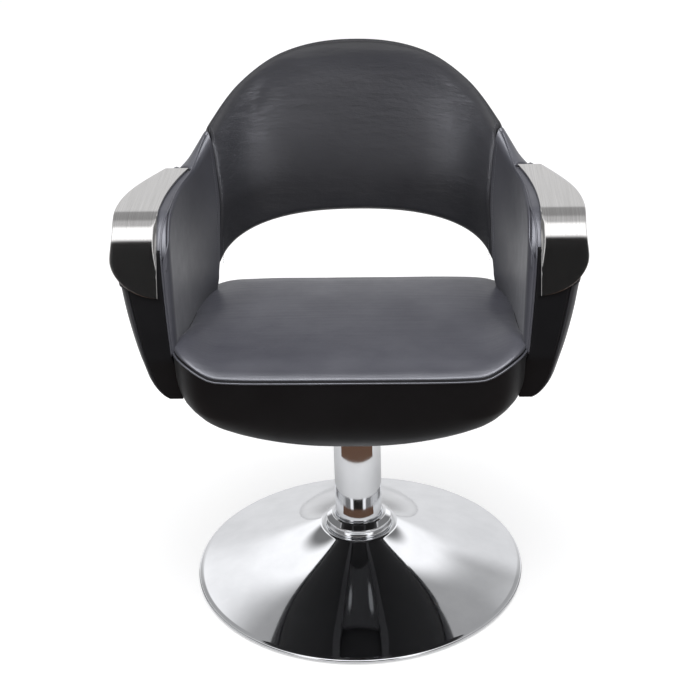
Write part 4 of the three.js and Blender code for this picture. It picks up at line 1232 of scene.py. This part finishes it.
def build_cap(side, sign):
    """Bent sheet-steel cap with softened edges."""
    rings = []
    for y, z, ny, nz in cap_path():
        rings.append(np.array([(sign * x, y + ny * d, z + nz * d) for x, d in cap_section(y, z)]))
    cap = rings_to_object(f"armrest_cap_fine_{side}", rings)
    shade_by_angle(cap, 50)
    finish_piece(cap, "brushed_steel", "seat", f"armrest_cap_{side}")


# ---- seams
def stitch_row(name, points, pitch=0.0042, length=0.0028, radius=0.00038):
    """Stitches along a line of points."""
    run = np.concatenate([[0], np.cumsum(np.linalg.norm(np.diff(points, axis=0), axis=1))])
    parts = []
    for start in np.arange(pitch, run[-1] - pitch, pitch):
        places = (start, start + length / 2, start + length)
        spots = [[np.interp(place, run, points[:, k]) for k in range(3)] for place in places]
        parts.append(tube(name + "_one", spots, radius, 6))
    finish_piece(joined(name, parts), "vinyl", "seat", material=THREAD)


def build_arm_seams(side, sign):
    """Welt along the arm's rim and down its front, and stitches beside the seam with the back."""
    nose = math.degrees(ARM_NOSE / ARM_REACH)
    last, front_depth = FRONT_ANGLE - 0.15, CORNER_DEPTH - 0.004
    angles = list(np.linspace(SEAM_ANGLE + 1, FRONT_ANGLE - nose, 60))
    angles += [last - (nose - 0.15) * (1 - math.sin(turn)) for turn in arc(16, 0, 90)[1:]]
    points = []
    for angle in angles:
        depth = lerp(rim_middle(angle) + 0.010, front_depth, smoothstep(angle, 88, FRONT_ANGLE))
        points.append(wall_point(sign * angle, wall_top(angle) - 0.0006, depth))
    for z in np.linspace(wall_top(last) - 0.004, 0.505, 30):
        points.append(wall_point(sign * last, z, front_depth))
    finish_piece(tube(f"arm_welt_{side}", points, WELT_RADIUS), "vinyl", "seat")
    for row, offset in (("a", -STITCH_OFFSET), ("b", STITCH_OFFSET)):
        angle = SEAM_ANGLE + offset
        top = wall_top(angle) + 0.0003
        heights, depths = wall_profile(OPENING_SIDE + 0.012, top, (0.5, 0.46), (0, 0.021), 0)
        stitch_row(f"seam_stitches_{side}_{row}", wall_point(sign * angle, heights, depths - 0.004))


def build_seat_welt(turns):
    """Piping in the seam between the seat pad and the shell."""
    ring = seat_ring(turns, 1.0, 0.0002, 1.0, -0.0076)
    finish_piece(tube("seat_welt", ring, WELT_RADIUS, closed=True), "vinyl", "seat")


# ---- stage
def build_camera():
    """The photographer's place: in front, a little to the sitter's left, looking down."""
    distance, height = 2.324, 1.593
    azimuth, pitch = math.radians(2.5), math.radians(26.78)
    roll, yaw = math.radians(1.62), math.radians(-0.18)
    location = Vector((distance * math.sin(azimuth), -distance * math.cos(azimuth), height))
    ahead = Vector((-math.sin(azimuth), math.cos(azimuth), 0))
    right = Vector((math.cos(azimuth), math.sin(azimuth), 0))
    turned_ahead = ahead * math.cos(yaw) + right * math.sin(yaw)
    right = right * math.cos(yaw) - ahead * math.sin(yaw)
    forward = turned_ahead * math.cos(pitch) + Vector((0, 0, -math.sin(pitch)))
    up = right.cross(forward)
    tilted_right = right * math.cos(roll) - up * math.sin(roll)
    tilted_up = up * math.cos(roll) + right * math.sin(roll)
    data = bpy.data.cameras.new("camera")
    data.lens, data.sensor_width = 82.29, 36
    camera = bpy.data.objects.new("camera", data)
    basis = Matrix((tilted_right, tilted_up, -forward)).transposed()
    camera.matrix_world = Matrix.Translation(location) @ basis.to_4x4()
    bpy.context.scene.collection.objects.link(camera)
    bpy.context.scene.camera = camera


def brown_floor_card():
    """A dark sector of floor in front, which only the chrome reflects."""
    turns = arc(49, -78, 78)
    low, high = ([(r * math.sin(t), -r * math.cos(t), 0.003) for t in turns] for r in (BROWN_FLOOR_FROM, 8.0))
    count = len(turns)
    faces = [(i, i + 1, i + 1 + count, i + count) for i in range(count - 1)]
    card = mesh_object("brown_floor_card", [*low, *high], faces)
    material, graph, shader = new_material("brown_floor_card")
    material.node_tree.nodes.remove(shader)
    glow = graph.node("Emission", {"Color": (*BROWN_FLOOR, 1), "Strength": 1.0})
    graph.feed(material.node_tree.nodes["Material Output"], {"Surface": glow.outputs["Emission"]})
    card.data.materials.append(material)
    card.visible_camera = False
    card.visible_shadow = False
    card.visible_diffuse = False
    return card


def build_floor():
    """White paper floor, partly self-lit so that shadows stay faint."""
    material, graph, shader = new_material("studio_floor")
    speckle = graph.noise(graph.position(), 3, 2)
    seen = graph.node("LightPath").outputs["Is Camera Ray"]
    graph.feed(shader, {
        "Base Color": graph.ramp(speckle, (0.60, 0.60, 0.605), (0.62, 0.62, 0.62)),
        "Roughness": 0.9, "Specular IOR Level": 0.1, "Emission Color": (1, 1, 1, 1),
        "Emission Strength": graph.spread(seen, FLOOR_GLOW_UNSEEN, FLOOR_GLOW_SEEN),
    })
    floor = mesh_object("studio_floor", [(-9, -9, 0), (9, -9, 0), (9, 9, 0), (-9, 9, 0)], [(0, 1, 2, 3)])
    if floor.data.polygons[0].normal.z < 0:
        floor.data.flip_normals()
    floor.data.materials.append(material)
    brown_floor_card()


def build_world():
    """Studio surround as the chrome shows it. Over the top from front to back: a dark room, a
    broad softbox overhead, a darker gap and a pale wall. To the sides: a bright strip, then a
    dim side. The camera itself sees plain white."""
    world = bpy.data.worlds.new("studio")
    bpy.context.scene.world = world
    world.use_nodes = True
    world.node_tree.nodes.clear()
    graph = Graph(world.node_tree)
    split = graph.node("SeparateXYZ", {0: graph.node("TexCoord").outputs["Generated"]})
    ahead = graph.maths("MULTIPLY", split.outputs["Y"], -1.0)
    over = graph.maths("ABSOLUTE", graph.maths("ARCTAN2", split.outputs["Z"], ahead))
    over = graph.maths("DIVIDE", over, math.pi)
    aside = graph.maths("ABSOLUTE", split.outputs["X"])
    middle, flank = (
        graph.bands(factor, [(place, (grey, grey, grey * 1.01)) for place, grey in bands], "EASE")
        for factor, bands in ((over, OVER_BANDS), (aside, ASIDE_BANDS)))
    edge = graph.node("MapRange", {"Value": aside, "From Min": 0.34, "From Max": 0.46})
    edge.interpolation_type = "SMOOTHSTEP"
    mix = graph.node("Mix")
    mix.data_type = "RGBA"
    graph.feed(mix, {"Factor": edge.outputs["Result"], "A": middle, "B": flank})
    surround = graph.node("Background", {"Color": mix.outputs["Result"]}).outputs[0]
    plain = graph.node("Background", {"Color": (1, 1, 1, 1)}).outputs[0]
    seen = graph.node("LightPath").outputs["Is Camera Ray"]
    choose = graph.node("MixShader", {0: seen, 1: surround, 2: plain})
    graph.node("OutputWorld", {"Surface": choose.outputs[0]})


def area_light(name, location, target, size, power, only_for=None):
    """A rectangular light, limited to one collection of pieces where only_for gives it."""
    data = bpy.data.lights.new(name, "AREA")
    data.shape = "RECTANGLE"
    data.size, data.size_y = size
    data.energy = power
    data.color = FILL_COLOUR if only_for is not None else (1, 1, 1)
    light = bpy.data.objects.new(name, data)
    light.location = location
    direction = Vector(target) - Vector(location)
    light.rotation_euler = direction.to_track_quat("-Z", "Y").to_euler()
    bpy.context.scene.collection.objects.link(light)
    if only_for is not None:
        light.light_linking.receiver_collection = only_for
    return light


def build_stage():
    build_camera()
    build_floor()
    build_world()
    light = area_light("overhead_softbox", (0, -0.6, 3.2), (0, 0, 0.4), (3.0, 2.4), OVERHEAD)
    light.visible_glossy = False
    area_light("front_fill", (0, -2.9, 1.15), (0, 0.2, 0.75), (3.4, 1.5), FRONT_FILL, FLOOR_LIT)
    for name, x, y, size, power in (("middle", 0, -1.6, (1.0, 1.4), FLOOR_FILL / 14),
                                    ("left", 1.9, -1.2, (1.8, 1.6), FLOOR_FILL),
                                    ("right", -1.9, -1.2, (1.8, 1.6), FLOOR_FILL)):
        area_light("floor_fill_" + name, (x, y, 0.02), (x, y, 1), size, power, FLOOR_LIT)
    area_light("top_fill", (0, -0.9, 2.7), (0, -0.1, 0.5), (2.8, 1.6), TOP_FILL, TOP_LIT)
    bpy.context.scene.view_settings.view_transform = "Standard"


# ---- the chair
build_stage()
build_dome()
build_collars()
build_column()
build_floor_ring()
build_hub()
build_lever()
build_spring()
build_pedal()
seat_turns = ring_turns(150)
build_seat_shell(seat_turns)
build_seat_cushion(seat_turns)
build_seat_welt(seat_turns)
build_core()
build_back()
build_rear_band()
for side, sign in SIDES.items():
    build_arm(side, sign)
    build_cap(side, sign)
    build_arm_seams(side, sign)

slots = {row["node"]: row["material_slot"] for row in frame["record"]["subparts"]}
for node, obj in frame["nodes"].items():
    obj.data.materials.clear()
    obj.data.materials.append(MATERIALS[slots[node]])
